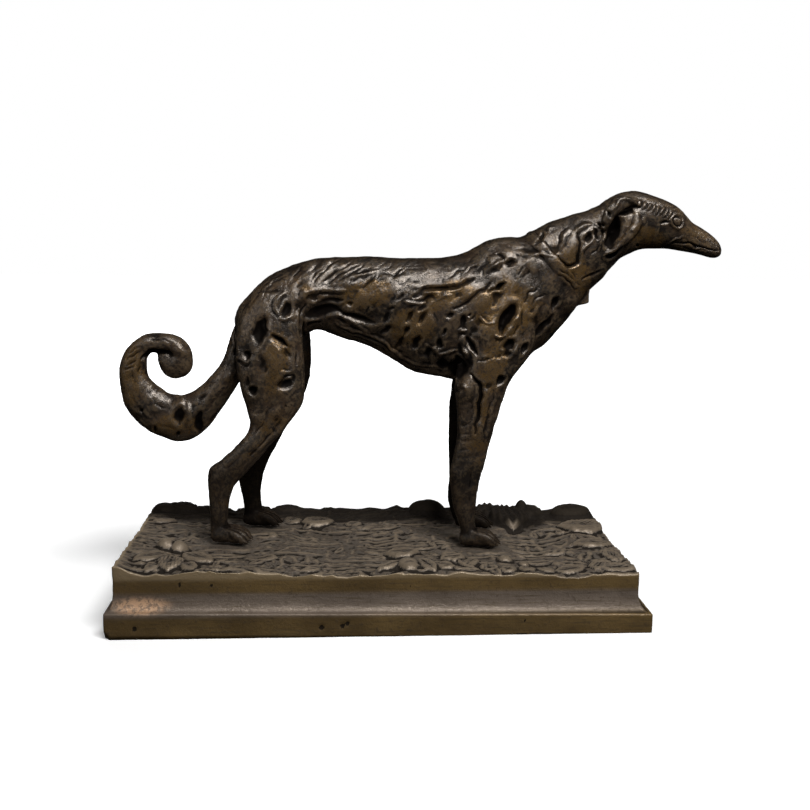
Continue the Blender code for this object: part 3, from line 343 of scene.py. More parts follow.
# Leaves, shells and mounds of the ground: x, y, half length, half width, height, turn, ribs.
FORMS = [
    (-98, -33, 9, 5, 3, 215, 4), (-102.5, -26, 8.5, 4, 2, 190, 3),
    (-89.5, -38, 8.5, 5.5, 3.2, 270, 4), (-96, -42, 6, 3, 1.8, 245, 2),
    (-79, -32, 9.5, 5.5, 3.4, 320, 4), (-81.5, -42, 6, 3.5, 2.2, 300, 3),
    (-105, 43, 6, 6, 3.6, 0, 0), (-97, 44.5, 8.5, 4.4, 4.8, 350, 2), (-84, 46, 9, 3.4, 1.8, 355, 2),
    (-104, 26, 6.5, 5, 1.6, 15, 3), (-62, 48.5, 9, 2.5, 2.4, 0, 2), (-41, 25.5, 5, 4.5, 2.6, 70, 4),
    (-28.6, 25, 8.6, 6.5, 4.2, 20, 6), (-44, 45, 8, 4, 2.6, 0, 2),
    (-11.4, 21.6, 4.5, 4, 1.6, 40, 3), (1.8, 17, 9, 4.5, 1.6, 10, 3), (-4, 42, 11, 4, 2.2, 0, 2),
    (26, 42, 9.5, 6, 6.4, 0, 0), (57.5, 41, 8, 7, 6.4, 90, 2), (66, 31, 17, 9.4, 8.4, 90, 3),
    (76.5, 41, 9, 7.5, 6.6, 340, 2), (98.5, 38, 10.5, 6.5, 6.4, 0, 0),
    (99.5, 17, 11.5, 9, 4.2, 355, 7), (99, -9, 9.5, 5.5, 3, 5, 5), (104, -27, 8, 4, 1.8, 100, 3),
    (94.5, -40, 5, 4.5, 2.2, 60, 3), (101.5, -43, 8, 4.5, 2.4, 350, 4),
    (81, -43, 7.5, 4, 2.2, 20, 3), (70, -44, 4.5, 3, 1.6, 330, 0), (9.5, -24, 8, 6, 3.8, 0, 4),
    (3.5, -41, 7, 2.8, 2.6, 40, 2), (11.4, -41, 6.5, 4.6, 3.4, 280, 0),
    (19.4, -41, 7.5, 3.6, 2.8, 295, 2), (27.5, -42, 4.5, 4, 2.2, 0, 2),
    (31.7, -31, 6.5, 5, 3.4, 30, 2), (39, -36, 6.5, 2.8, 2.4, 60, 2),
    (36.5, -38, 6, 2.6, 2.2, 120, 2), (46.2, -41, 4.6, 4, 2, 90, 2),
    (54, -44, 4.4, 3.6, 1.8, 60, 2), (62.5, -43, 4.5, 3.4, 1.8, 120, 2), (-30, -36, 9, 3, 1, 10, 2),
    (-52, -30, 8, 4, 1.2, 350, 3),
]
RIB_DEPTH = 0.22  # share of a leaf's height that is gone between its ribs
CUP_DEPTH = 0.45  # share that is gone along its middle
# Puffballs, buds and the button: x, y, radius, height.
BALLS = [
    (-94, -19.5, 4.7, 5.6), (-88.8, -20.5, 4.5, 4.8), (-98, 43.5, 3.2, 4), (54.6, -31.5, 3.4, 3),
    (62.4, -35, 2.4, 1.8), (74.5, 43, 3.8, 8.2),
]
# Dents and pits in the plinth's front: x, z, radius and depth in millimetres.
FRONT_DENTS = [
    (-102.2, 4.6, 1.3, 0.5), (-25.3, 4.2, 1.4, 0.6), (-16.6, 4.8, 1.3, 0.6), (-14.6, 5.8, 1.2, 0.5),
    (-84, 22, 0.9, 0.5), (-71, 21.4, 0.6, 0.4), (60, 6.2, 0.7, 0.3), (12, 20.6, 0.6, 0.3),
]
LITTER = 150  # small leaves and crumbs
LITTER_SEED = 11
# Patches of the plinth's patina, in the measure of its tables.
COVE = (8.0, 10.5, 17.0, 19.0)  # heights between which the hollow moulding is greyer patina with a painted sheen, with soft ends
SCUFF = (-100, 13.6, 15, 4.0)  # coppery scuff at the front left: x, z, half length, half height
FAR_SHADE = (22, 32)  # y where the painted shadow along the far edge begins and is full
LEAF_SHADE = (68, 32, 21, 19)  # painted shade on the ground round the big leaf: x, y, half length, half width
LEAST_SHADE_HEIGHTS = (20.0, 23.0)  # the painted shade lies only above these heights
PALER_RIM = (109.4, 49.0)  # x and y beyond which the ground's rim is painted paler

# Camera, fitted to the photograph's view of the plinth.
CAMERA_PLACE = (-0.0157, -0.458, 0.169)
CAMERA_TURN = 0.060
CAMERA_DOWN = 0.173
CAMERA_ROLL = 0.010
LENS = 45.33


def placed(name, data):
    """A new object with that mesh, light or camera, in the scene."""
    made = bpy.data.objects.new(name, data)
    bpy.context.scene.collection.objects.link(made)
    return made


def in_oval(dx, dz, lean, length, width):
    """Offsets from the middle of a leaning oval, as shares of its half length and half width."""
    c, s = math.cos(math.radians(lean)), math.sin(math.radians(lean))
    return (dx * c + dz * s) / length, (dz * c - dx * s) / width


def smooth_rows(rows, steps):
    """Rows of numbers, with steps more between each two, on a curve through all of them."""
    rows = np.array(rows, float)
    padded = np.vstack([2 * rows[0] - rows[1], rows, 2 * rows[-1] - rows[-2]])
    made = []
    for a, b, c, d in zip(padded, padded[1:], padded[2:], padded[3:]):
        for t in np.arange(steps) / steps:
            made.append(
                0.5 * (2 * b + (c - a) * t + (2 * a - 5 * b + 4 * c - d) * t**2
                       + (3 * b - a - 3 * c + d) * t**3)
            )
    made.append(rows[-1])
    return np.array(made)


def rib(top, bottom, half_width, widest, count, roof=1.0):
    """A ring from a top point round to a bottom point, widest at that share of its depth."""
    top, bottom = np.array(top, float), np.array(bottom, float)
    turn = 2 * math.pi * np.arange(count) / count
    up = np.cos(turn)
    depth = np.where(up > 0, widest * (1 - up), widest - (1 - widest) * up)
    ring = top + depth[:, None] * (bottom - top)
    across = np.sin(turn)
    across = np.where(up > 0, np.sign(across) * np.abs(across) ** roof, across)
    ring[:, 1] += half_width * across
    return ring


def tube_rings(path, count):
    """Rings square to a path of rows x, y, z, half height, half width; the width lies along Y."""
    path = np.array(path, float)
    along = np.gradient(path[:, :3], axis=0)
    along /= np.linalg.norm(along, axis=1)[:, None]
    side = np.array([0.0, 1.0, 0.0]) - along * along[:, 1:2]
    side /= np.linalg.norm(side, axis=1)[:, None]
    over = np.cross(side, along)
    turn = 2 * math.pi * np.arange(count) / count
    return [
        p[:3] + np.outer(np.cos(turn) * p[3], o) + np.outer(np.sin(turn) * p[4], s)
        for p, o, s in zip(path, over, side)
    ]


def loft(mesh, rings):
    layers = [[mesh.verts.new(p * M) for p in ring] for ring in rings]
    count = len(layers[0])
    skin = [
        mesh.faces.new((a[i], a[(i + 1) % count], b[(i + 1) % count], b[i]))
        for a, b in zip(layers, layers[1:])
        for i in range(count)
    ]
    skin.append(mesh.faces.new(layers[0][::-1]))
    skin.append(mesh.faces.new(layers[-1]))
    bmesh.ops.recalc_face_normals(mesh, faces=skin)


def add_spine(mesh):
    rows = smooth_rows(SPINE, 6)
    loft(mesh, [rib((r[0], 0, r[1]), (r[2], 0, r[3]), r[4], r[5], 56, BACK_ROOF) for r in rows])


def add_leg(mesh, rows, side):
    rings = [
        rib((r[0], side * r[4], r[1]), (r[2], side * r[4], r[3]), r[5], 0.5, 36)
        for r in smooth_rows(rows, 6)
    ]
    loft(mesh, rings)


def turned(rings, x, y, degrees):
    """Rings turned about an upright line through x, y."""
    c, s = math.cos(math.radians(degrees)), math.sin(math.radians(degrees))
    made = []
    for ring in rings:
        dx, dy = ring[:, 0] - x, ring[:, 1] - y
        made.append(np.stack([x + c * dx - s * dy, y + s * dx + c * dy, ring[:, 2]], 1))
    return made


def add_paw(mesh, heel_x, y, ground, turn):
    """A long oval paw: the pad, and toes that rise to a knuckle and come down to a claw."""
    length, width, height = PAW

    def add(path, steps, count):
        loft(mesh, turned(tube_rings(smooth_rows(path, steps), count), heel_x, y, turn))

    pad = [(heel_x + ahead, y, ground + up, high, wide) for ahead, up, high, wide in PAW_PAD]
    add(pad, 6, 28)
    for i in range(TOES):
        off = (i - (TOES - 1) / 2) / (TOES - 1)
        reach = length - 5.0 * off * off - 1.0
        toe_y = y + off * (width - 3.0)
        knuckle_y = toe_y * 0.92 + y * 0.08
        toe = [
            (heel_x + 5.0, y + off * 5.0, ground + height * 0.72, 1.6, 1.3),
            (heel_x + reach * 0.62, knuckle_y, ground + height * 0.62, 2.1, 1.45),
            (heel_x + reach * 0.86, toe_y, ground + height * 0.42, 2.1, 1.5),
            (heel_x + reach, toe_y, ground + 1.7, 1.5, 1.25),
        ]
        add(toe, 6, 20)
        claw = [
            (heel_x + reach, toe_y, ground + 2.6, 0.9, 0.7),
            (heel_x + reach + 1.2, toe_y, ground + 1.9, 0.7, 0.6),
            (heel_x + reach + 1.9, toe_y, ground + 1.0, 0.4, 0.4),
        ]
        add(claw, 4, 12)


def add_ears(mesh):
    for side in (-1, 1):
        for rows, flat in ((EAR_ROLL, 0.75), (RUFF, 0.8)):
            path = [(x, side * y, z, r, r * flat) for x, z, y, r in rows]
            loft(mesh, tube_rings(smooth_rows(path, 6), 24))


def add_eyes(mesh):
    x, z, y, radius = EYE
    for side in (-1, 1):
        turn = [math.radians(a) for a in range(8, 180, 12)]
        ball = [
            (x - radius * math.cos(t), side * y, z, radius * math.sin(t), radius * math.sin(t))
            for t in turn
        ]
        loft(mesh, tube_rings(ball, 24))


def add_collar(mesh):
    half_width, band, stands_out = COLLAR
    top, bottom = np.array(COLLAR_TOP), np.array(COLLAR_BOTTOM)
    down = (bottom - top) / np.linalg.norm(bottom - top)
    ahead = np.array([-down[1], down[0]])
    rings = []
    for share in (-0.5, -0.42, -0.3, 0.0, 0.3, 0.42, 0.5):
        proud = stands_out * (1 - (2 * abs(share)) ** 4)
        a = top + ahead * share * band - down * proud
        b = bottom + ahead * share * band + down * proud
        rings.append(rib((a[0], 0, a[1]), (b[0], 0, b[1]), half_width + proud, 0.5, 56))
    loft(mesh, rings)
    x, z = TAG_CENTRE
    hx, hy = TAG_HALF_SIZE
    block = []
    # The tag's slices from back to front: x, lowest and highest place.
    slices = [(-hx, -2.6, 2.2), (-hx + 0.5, -3.2, 2.8), (hx - 1.4, -2.0, 4.0), (hx - 0.2, -1.4, 4.4)]
    for dx, low, high in slices:
        sides = [(-hy, low), (-hy, high), (hy, high), (hy, low)]
        block.append(np.array([(x + dx, y, z + up) for y, up in sides]))
    loft(mesh, block)


def dog_shape():
    mesh = bmesh.new()
    add_spine(mesh)
    for near, far in ((NEAR_FORE_LEG, FAR_FORE_LEG), (NEAR_HIND_LEG, FAR_HIND_LEG)):
        add_leg(mesh, near, -1)
        add_leg(mesh, far, 1)
    for row in PAWS:
        add_paw(mesh, *row)
    fold = [(x, y, z, high, wide) for x, z, y, high, wide in FLANK_FOLD]
    loft(mesh, tube_rings(smooth_rows(fold, 8), 28))
    loft(mesh, tube_rings(smooth_rows([(x, 0, z, h, w) for x, z, h, w in TAIL], 8), 40))
    add_ears(mesh)
    add_eyes(mesh)
    add_collar(mesh)
    made = bpy.data.meshes.new("dog_shape")
    mesh.to_mesh(made)
    mesh.free()
    return made


def baked(obj):
    """The object's mesh with its modifiers, in place of the object, which goes."""
    graph = bpy.context.evaluated_depsgraph_get()
    made = bpy.data.meshes.new_from_object(obj.evaluated_get(graph))
    bpy.data.objects.remove(obj, do_unlink=True)
    return made


def vectors(mesh, what):
    values = np.empty(len(mesh.vertices) * 3, np.float32)
    mesh.vertices.foreach_get(what, values)
    return values.reshape(-1, 3).astype(float)


def set_places(mesh, places):
    mesh.vertices.foreach_set("co", places.astype(np.float32).ravel())
    mesh.update()


class Relief:
    """Depths over the figure's side view, in its own measure: plus sinks, minus stands proud."""

    X0, X1, Z0, Z1, STEP = -122.0, 162.0, -6.0, 165.0, 0.25

    def __init__(self):
        self.x = np.arange(self.X0, self.X1, self.STEP)
        self.z = np.arange(self.Z0, self.Z1, self.STEP)
        self.depth = np.zeros((len(self.z), len(self.x)))

    def window(self, x0, x1, z0, z1):
        """Rows and columns of the sheet between two places in x and in z."""
        def cells(low, high, start, count):
            ends = [int((low - start) / self.STEP), int((high - start) / self.STEP) + 1]
            return slice(*np.clip(ends, 0, count))

        return cells(z0, z1, self.Z0, len(self.z)), cells(x0, x1, self.X0, len(self.x))

    def stroke(self, places, width, depth, lip=0.22, steps=4):
        """A groove that thins out at both ends, with a little clay pushed up along it."""
        places = smooth_rows(places, steps) if steps > 1 else np.array(places, float)
        reach = 1.9 * width
        low, high = places.min(0) - reach, places.max(0) + reach
        rows, cols = self.window(low[0], high[0], low[1], high[1])
        gx, gz = self.x[cols][None, :], self.z[rows][:, None]
        if gx.size == 0 or gz.size == 0:
            return
        nearest = np.full((gz.size, gx.size), 1e9)
        share = np.zeros_like(nearest)
        lengths = np.linalg.norm(np.diff(places, axis=0), axis=1)
        total, gone = lengths.sum(), 0.0
        for a, b, length in zip(places, places[1:], lengths):
            run = (b - a) / max(length, 1e-6)
            along = np.clip((gx - a[0]) * run[0] + (gz - a[1]) * run[1], 0, length)
            away = np.hypot(gx - a[0] - along * run[0], gz - a[1] - along * run[1])
            closer = away < nearest
            nearest = np.where(closer, away, nearest)
            share = np.where(closer, (gone + along) / total, share)
            gone += length
        swell = np.sqrt(np.clip(np.sin(math.pi * (0.04 + 0.92 * share)), 0, 1))
        s = nearest / (width * (0.4 + 0.6 * swell))
        shape = np.clip(1 - s * s, 0, 1) ** 2 - lip * np.exp(-(((s - 1.3) / 0.32) ** 2))
        self.depth[rows, cols] += depth * swell * shape

    def pit(self, x, z, length, width, lean, depth, lip=0.05):
        """An oval hollow, steeper and deeper at its upper side."""
        reach = 1.5 * max(length, width)
        rows, cols = self.window(x - reach, x + reach, z - reach, z + reach)
        gx, gz = self.x[cols][None, :] - x, self.z[rows][:, None] - z
        r = np.hypot(*in_oval(gx, gz, lean, length, width))
        shape = np.clip(1 - r**2, 0, 1) ** 1.4 * (1 + 0.3 * np.clip(gz / max(length, width), -1, 1))
        self.depth[rows, cols] += depth * (shape - lip * np.exp(-(((r - 1.18) / 0.16) ** 2)))

    def at(self, x, z):
        u = np.clip((x - self.X0) / self.STEP, 0, len(self.x) - 1.001)
        w = np.clip((z - self.Z0) / self.STEP, 0, len(self.z) - 1.001)
        i, j = u.astype(int), w.astype(int)
        fu, fw = u - i, w - j
        d = self.depth
        return ((d[j, i] * (1 - fu) + d[j, i + 1] * fu) * (1 - fw)
                + (d[j + 1, i] * (1 - fu) + d[j + 1, i + 1] * fu) * fw)


def coat_lie(x, z):
    """Direction in radians, length and depth of the coat's strokes at a place."""
    table = np.array(COAT_LIE, float)
    weight = 1 / (np.hypot(table[:, 0] - x, table[:, 1] - z) + 2.0) ** 3
    weight /= weight.sum()
    turn = np.radians(table[:, 2])
    direction = math.atan2((weight * np.sin(turn)).sum(), (weight * np.cos(turn)).sum())
    return direction, (weight * table[:, 3]).sum(), (weight * table[:, 4]).sum()


def draw_head(relief):
    """Brow hairs, eye, lids, mouth and the fine lines across the muzzle."""
    for i in range(8):
        x, z = 115.5 + 1.95 * i, 154.0 - 0.56 * i
        relief.stroke([(x - 1.0, z - 2.2), (x + 0.9, z + 1.1)], 0.95, -0.75, lip=0.45, steps=1)
    eye_x, eye_z = EYE[0] - 0.4, EYE[1]
    circle = [math.radians(a) for a in range(0, 361, 20)]
    for radius, width, depth in ((3.5, 0.8, -0.60), (2.3, 0.8, 0.80), (0.9, 0.5, 0.25)):
        ring = [(eye_x + radius * math.cos(t), eye_z + radius * 0.92 * math.sin(t)) for t in circle]
        relief.stroke(ring, width, depth, lip=0.0, steps=1)
    relief.pit(126.8, 145.6, 2.4, 1.0, 0, 0.9, lip=0.1)
    relief.stroke([(129.0, 149.6), (132, 151.2), (135, 151.0), (137.4, 149.2)], 0.8, -0.4, lip=0.1)
    mouth = [(131.4, 136.6), (134, 137.0), (141, 136.0), (146, 134.6), (152, 133.6), (155, 132.8)]
    relief.stroke(mouth, 0.7, 0.75)
    relief.stroke([(129.4, 136.6), (132, 138.6), (134.6, 139.0), (136.6, 139.9)], 0.8, -0.6, lip=0.1)
    relief.stroke([(137, 134.7), (143, 133.7), (149, 133.2)], 0.5, 0.35)
    relief.stroke([(138, 140.6), (143, 138.6), (148, 137.0)], 0.6, 0.25)
    relief.pit(152.8, 137.4, 0.8, 0.5, -30, 0.5, lip=0.1)
    for i in range(14):
        x = 138.5 + 1.05 * i
        relief.stroke([(x, 143.4 - 0.42 * i), (x + 0.5, 138.6 - 0.30 * i)], 0.35, 0.12, steps=1)


def draw_coat(seed, strength):
    """The coat on one side, as two sheets: the forms listed above, and the hair over them."""
    named, hair = Relief(), Relief()
    for x, z, length, width, lean, height in SWELLS:
        named.pit(x, z, length, width, lean, -height * strength, lip=0.0)
    for x, z, length, width, lean, depth in PITS:
        named.pit(x, z, 1.15 * length, 1.2 * width, lean, depth * strength * PIT_DEPTH, lip=0.04)
    for width, depth, places in GROOVES:
        named.stroke(places, width, depth * strength, lip=0.12)
    for width, depth, places in RIDGES:
        named.stroke(places, width * 1.15, -depth * strength, lip=0.1)
    draw_head(named)
    rng = np.random.default_rng(seed)
    for _ in range(COAT_DABS):
        x, z = rng.uniform(-120, 112), rng.uniform(0, 150)
        turn, _, _ = coat_lie(x, z)
        size = rng.uniform(3.0, 8.0)
        lean = math.degrees(turn) + rng.normal(0, 30)
        width = size * rng.uniform(0.35, 0.7)
        hair.pit(x, z, size, width, lean, DAB_DEPTH * rng.uniform(-1.0, 1.2), lip=0.1)
    for _ in range(COAT_STROKES):
        x, z = rng.uniform(-120, 118), rng.uniform(0, 158)
        turn, length, depth = coat_lie(x, z)
        turn += rng.normal(0, 0.13)
        half = 0.5 * length * rng.uniform(0.5, 1.2)
        run = np.array([math.cos(turn), math.sin(turn)])
        bend = rng.normal(0, 0.10) * half * np.array([-run[1], run[0]])
        middle = np.array([x, z])
        hair.stroke([middle - half * run, middle + bend, middle + half * run],
                    rng.uniform(0.40, 0.70), depth * rng.uniform(0.3, 1.2), lip=0.3, steps=1)
    return named, hair


def soft_noise(places, size, seed):
    """Smooth random values between -1 and 1 over places in space, of that grain."""
    rng = np.random.default_rng(seed)
    lattice = rng.uniform(-1, 1, (32, 32, 32))
    scaled = places / size + 100.0
    cell = np.floor(scaled).astype(int)
    f = scaled - cell
    f = f * f * (3 - 2 * f)
    total = np.zeros(len(places))
    for corner in np.ndindex(2, 2, 2):
        weight = np.ones(len(places))
        index = []
        for axis, bit in enumerate(corner):
            weight = weight * (f[:, axis] if bit else 1 - f[:, axis])
            index.append((cell[:, axis] + bit) % 32)
        total += weight * lattice[index[0], index[1], index[2]]
    return total


def smooth_step(value, low, high):
    t = np.clip((value - low) / (high - low), 0, 1)
    return t * t * (3 - 2 * t)


def edge_ends(mesh):
    ends = np.empty(len(mesh.edges) * 2, np.int64)
    mesh.edges.foreach_get("vertices", ends)
    return ends.reshape(-1, 2)


def hollowness(mesh, rounds):
    """Millimetres that each point lies under (plus) or over (minus) the skin around it, as far
    out as that many rounds of smoothing reach."""
    places = vectors(mesh, "co")
    normals = vectors(mesh, "normal")
    a, b = edge_ends(mesh).T
    count = len(places)
    shared = np.bincount(a, minlength=count) + np.bincount(b, minlength=count)
    soft = places.copy()
    for _ in range(rounds):
        total = np.zeros_like(soft)
        for axis in range(3):
            total[:, axis] = (np.bincount(a, soft[b, axis], minlength=count)
                              + np.bincount(b, soft[a, axis], minlength=count))
        soft = 0.5 * soft + 0.5 * total / np.maximum(shared, 1)[:, None]
    return ((soft - places) * normals).sum(1) * 1000


def add_values(mesh, name, values):
    layer = mesh.attributes.new(name, "FLOAT", "POINT")
    layer.data.foreach_set("value", values.astype(np.float32))


def side_relief(coats, places, normals):
    """The named relief and the hair of both sides at places on the skin."""
    x, y, z = places.T
    wander = np.stack([x, z, 0 * x], 1)
    x = x + 0.7 * soft_noise(wander, 3.1, 7)
    z = z + 0.7 * soft_noise(wander, 3.1, 8)
    named, hair = np.zeros(len(places)), np.zeros(len(places))
    for side, (forms, strokes) in coats.items():
        share = smooth_step(side * normals[:, 1], 0.08, 0.45) * smooth_step(side * y, -0.5, 0.8)
        named += forms.at(x, z) * share
        hair += strokes.at(x, z) * share
    return named, hair


def golden(places):
    """How far the patina is worn to gold at places on the figure; on the tail, throat and cheek part of
    it is painted light thrown up from below.
    """
    x, z = places[:, 0], places[:, 2]
    worn = np.zeros(len(places))
    for cx, cz, length, width, lean, share in GOLD:
        away = np.hypot(*in_oval(x - cx, z - cz, lean, length, width))
        worn = np.maximum(worn, share * smooth_step(away, 1.25, 0.35))
    return worn


def sculpt_dog(mesh, coats):
    """Presses both sides' coats and the modeller's lumps into the skin, square to it."""
    places, normals = vectors(mesh, "co") / M, vectors(mesh, "normal")
    named, sunk = side_relief(coats, places, normals)
    head = smooth_step(places[:, 0], 112, 122)
    coat = 1 - 0.85 * head
    sunk = sunk * coat + named
    sunk += coat * (0.34 * soft_noise(places, 7.5, 1) + 0.12 * soft_noise(places, 3.2, 2))
    sunk += coat * 0.05 * soft_noise(places, 1.4, 3)
    top = 1 - smooth_step(abs(normals[:, 1]), 0.2, 0.6)
    stretched = places * np.array([0.28, 1.0, 1.0])
    sunk += coat * top * 0.10 * soft_noise(stretched, 1.1, 4)
    set_places(mesh, (places - normals * sunk[:, None]) * M)


def painted_shade_and_dark_feet(places, normals):
    """Painted shade between the legs and on what faces up along the top of the figure; darker toward
    the feet.
    """
    x, y, z = places.T
    # Painted shade on the inner sides of the legs, where they shade each other.
    inner = smooth_step(-np.sign(y) * normals[:, 1], -0.2, 0.3) * smooth_step(z, 90, 80)
    inner *= smooth_step(x, -85, -80)
    # Darker toward the feet.
    feet = FEET_DARKENING * smooth_step(z, 58, 28)
    # Painted shade on what faces straight up along the top of the figure.
    tops = TOP_SHADE * smooth_step(normals[:, 2], 0.55, 0.92) * smooth_step(z, 100, 110)
    return np.maximum(np.maximum(INNER_SHADE * inner, feet), tops)


def build_dog():
    rough = placed("dog_rough", dog_shape())
    remesh = rough.modifiers.new("one_skin", "REMESH")
    remesh.mode = "VOXEL"
    remesh.voxel_size = DOG_VOXEL
    soften = rough.modifiers.new("soften", "SMOOTH")
    soften.factor = 0.5
    soften.iterations = 8
    made = baked(rough)
    coats = {side: draw_coat(COAT_SEED + side, depth) for side, depth in ((-1, 1.0), (1, 0.75))}
    sculpt_dog(made, coats)
    dog = placed("borzoi_coat", made)
    triangles = sum(len(p.vertices) - 2 for p in made.polygons)
    print("dog triangles before thinning", triangles)
    if triangles > DOG_TRIANGLES:
        thin = dog.modifiers.new("thin", "DECIMATE")
        thin.ratio = DOG_TRIANGLES / triangles
        made = baked(dog)
        dog = placed("borzoi_coat", made)
    made.name = "borzoi_coat"
    places, normals = vectors(made, "co") / M, vectors(made, "normal")
    named, _ = side_relief(coats, places, normals)
    add_values(made, "pressed", named)
    add_values(made, "golden", golden(places))
    # Painted shade between the legs and on top, and darker feet, for the bronze's colour.
    add_values(made, "painted_shade_and_dark_feet", painted_shade_and_dark_feet(places, normals))
    made.transform(Matrix.Translation((DOG_AHEAD_X, DOG_MIDLINE_Y, paw_level() + PAW_GAP)))
    keep_inside(made, "borzoi")
    made.update()
    add_values(made, "hollow", hollowness(made, 10))
    add_values(made, "broad", hollowness(made, 60))
    made.shade_smooth()
    return dog


def keep_inside(mesh, node):
    """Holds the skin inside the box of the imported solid."""
    low, high = (np.array(corner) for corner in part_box(node))
    places = vectors(mesh, "co")
    past = [((low - places.min(0)) * 1000).round(2), ((places.max(0) - high) * 1000).round(2)]
    print("past the box, mm", *past)
    spare = np.array([1e-5, 1e-5, 0.0])
    set_places(mesh, np.clip(places, low + spare, high - spare))


def moulding_lift(x):
    return -SLAB_WEDGE * x / (PLINTH_LENGTH / 2)


def fascia_top():
    return SLAB_HEIGHT + MOULDING_HEIGHT + FASCIA_HEIGHT


def paw_level():
    return fascia_top() + 0.4 * P


def litter():
    """Small leaves and crumbs over the ground, thick toward its edges and thin in the middle."""
    rng = np.random.default_rng(LITTER_SEED)
    made = []
    while len(made) < LITTER:
        x, y = rng.uniform(-106, 106), rng.uniform(-48, 48)
        crowd = 0.25 + 0.75 * min(1.0, max(abs(x) / 80, abs(y + 4) / 40) ** 3)
        if rng.uniform() > crowd:
            continue
        length = rng.uniform(2.2, 6.5)
        made.append((x, y, length, length * rng.uniform(0.35, 0.6), rng.uniform(0.35, 1.1),
                     rng.uniform(0, 360), 1))
    return made


def dome_relief(px, py, forms, rib_depth):
    """Height of leaves and mounds; a ribbed one is a leaf, cupped along its middle."""
    relief = np.zeros_like(px)
    for cx, cy, half_length, half_width, height, turn, ribs in forms:
        dx, dy = px - cx, py - cy
        near = np.abs(dx) + np.abs(dy) < 2 * (half_length + half_width)
        u, w = in_oval(dx[near], dy[near], turn, half_length, half_width)
        dome = np.clip(1 - u**2 - w**2, 0, 1) ** 0.42
        if ribs:
            spread = np.abs(w) / np.clip(1.15 * (1 - u * u), 0.02, 1)
            leaf = np.clip(1 - spread**2, 0, 1) ** 0.35 * np.clip(1 - u * u, 0, 1) ** 0.35
            fan = w * (1 + 0.35 * u)
            leaf = leaf * (1 - rib_depth * 0.5 * (1 + np.cos(math.pi * 2 * ribs * fan)))
            dome = leaf * (1 - CUP_DEPTH * np.exp(-((spread / 0.5) ** 2) - (u / 0.8) ** 2))
        relief[near] = np.maximum(relief[near], height * dome)
    return relief


def ground_height(x, y):
    """Height of the modelled ground over arrays of places on the plinth."""
    px, py = x / P, y / P
    swell = 0.4 * np.sin(px * 0.095 + 1.3 * np.sin(py * 0.08)) + 0.3 * np.sin(py * 0.15 + px * 0.06)
    swell = swell + 0.3 * np.sin(px * 0.21 + 0.7) * np.cos(py * 0.12)
    half_x, half_y = PLINTH_LENGTH / P / 2, PLINTH_DEPTH / P / 2
    edges = [(LEFT_EDGE, half_x + px, py), (RIGHT_EDGE, half_x - px, py), (FAR_EDGE, half_y - py, px)]
    for rows, away, place in edges:
        near = np.clip(1.4 - away / EDGE_REACH, 0, 1) ** 2
        level = np.interp(place, [r[0] for r in rows], [r[1] for r in rows])
        swell = swell * (1 - near) + level * near
    for cx, half, depth in EDGE_DIPS:
        swell = swell - depth * np.exp(-(((px - cx) / half) ** 2))
    relief = dome_relief(px, py, FORMS, RIB_DEPTH)
    for cx, cy, radius, height in BALLS:
        away = ((px - cx) ** 2 + (py - cy) ** 2) / radius**2
        relief = np.maximum(relief, height * np.sqrt(np.clip(1 - away, 0, 1)))
    bare = smooth_step(relief, 2.0, 0.0)
    relief = relief + bare * dome_relief(px, py, litter(), 0.3)
    flat = np.stack([px, py, 0 * px], 1)
    warp = 4.0 * soft_noise(flat, 16.0, 21)
    lines = np.stack([px * 0.20, py + warp, 0 * px], 1)
    marks = 1 - 2.4 * np.abs(soft_noise(lines, 3.4, 22))
    leafy = 1 - 2.4 * np.abs(soft_noise(flat + warp[:, None], 6.5, 25))
    marks = 0.55 * marks + 0.50 * leafy + 0.30 * soft_noise(flat, 4.0, 23)
    marks = marks + 0.16 * soft_noise(flat, 1.6, 24)
    rise = fascia_top() + moulding_lift(x) + P * (swell + relief + marks * (0.35 + 0.65 * bare))
    length, width, _ = PAW
    for heel_x, side, ground, turn in PAWS:
        c, s = math.cos(math.radians(turn)), math.sin(math.radians(turn))
        middle_x = DOG_AHEAD_X + (heel_x + c * length / 2) * M
        middle_y = DOG_MIDLINE_Y + (side + s * length / 2) * M
        half_length, half_width = 0.62 * length * M, 0.70 * width * M
        shares = in_oval(x - middle_x, y - middle_y, turn, half_length, half_width)
        hold = smooth_step(np.hypot(*shares), 1.6, 1.0)
        level = paw_level() + ground * M + P * (0.3 * marks - 0.1)
        rise = rise * (1 - hold) + level * hold
    return rise


def plinth_profile():
    """Inset and height of the plinth's sides from the underside up to the foot of the fascia."""
    edge = SLAB_EDGE_RADIUS
    foot = 0.0007
    rise = SLAB_HEIGHT - edge - foot
    lower = [(0.0, 0.0)] + [(0.0, foot + h * rise) for h in np.linspace(0, 1, 9)]
    rounded = [
        (edge * (1 - math.cos(t)), SLAB_HEIGHT - edge * (1 - math.sin(t)))
        for t in [math.radians(a) for a in (22, 45, 68, 90)]
    ]
    reach = MOULDING_INSET - edge
    hollow = [
        (edge + reach * math.sin(t), SLAB_HEIGHT + MOULDING_HEIGHT * (1 - math.cos(t)))
        for t in [math.radians(a) for a in range(9, 91, 9)]
    ]
    return lower + rounded + hollow


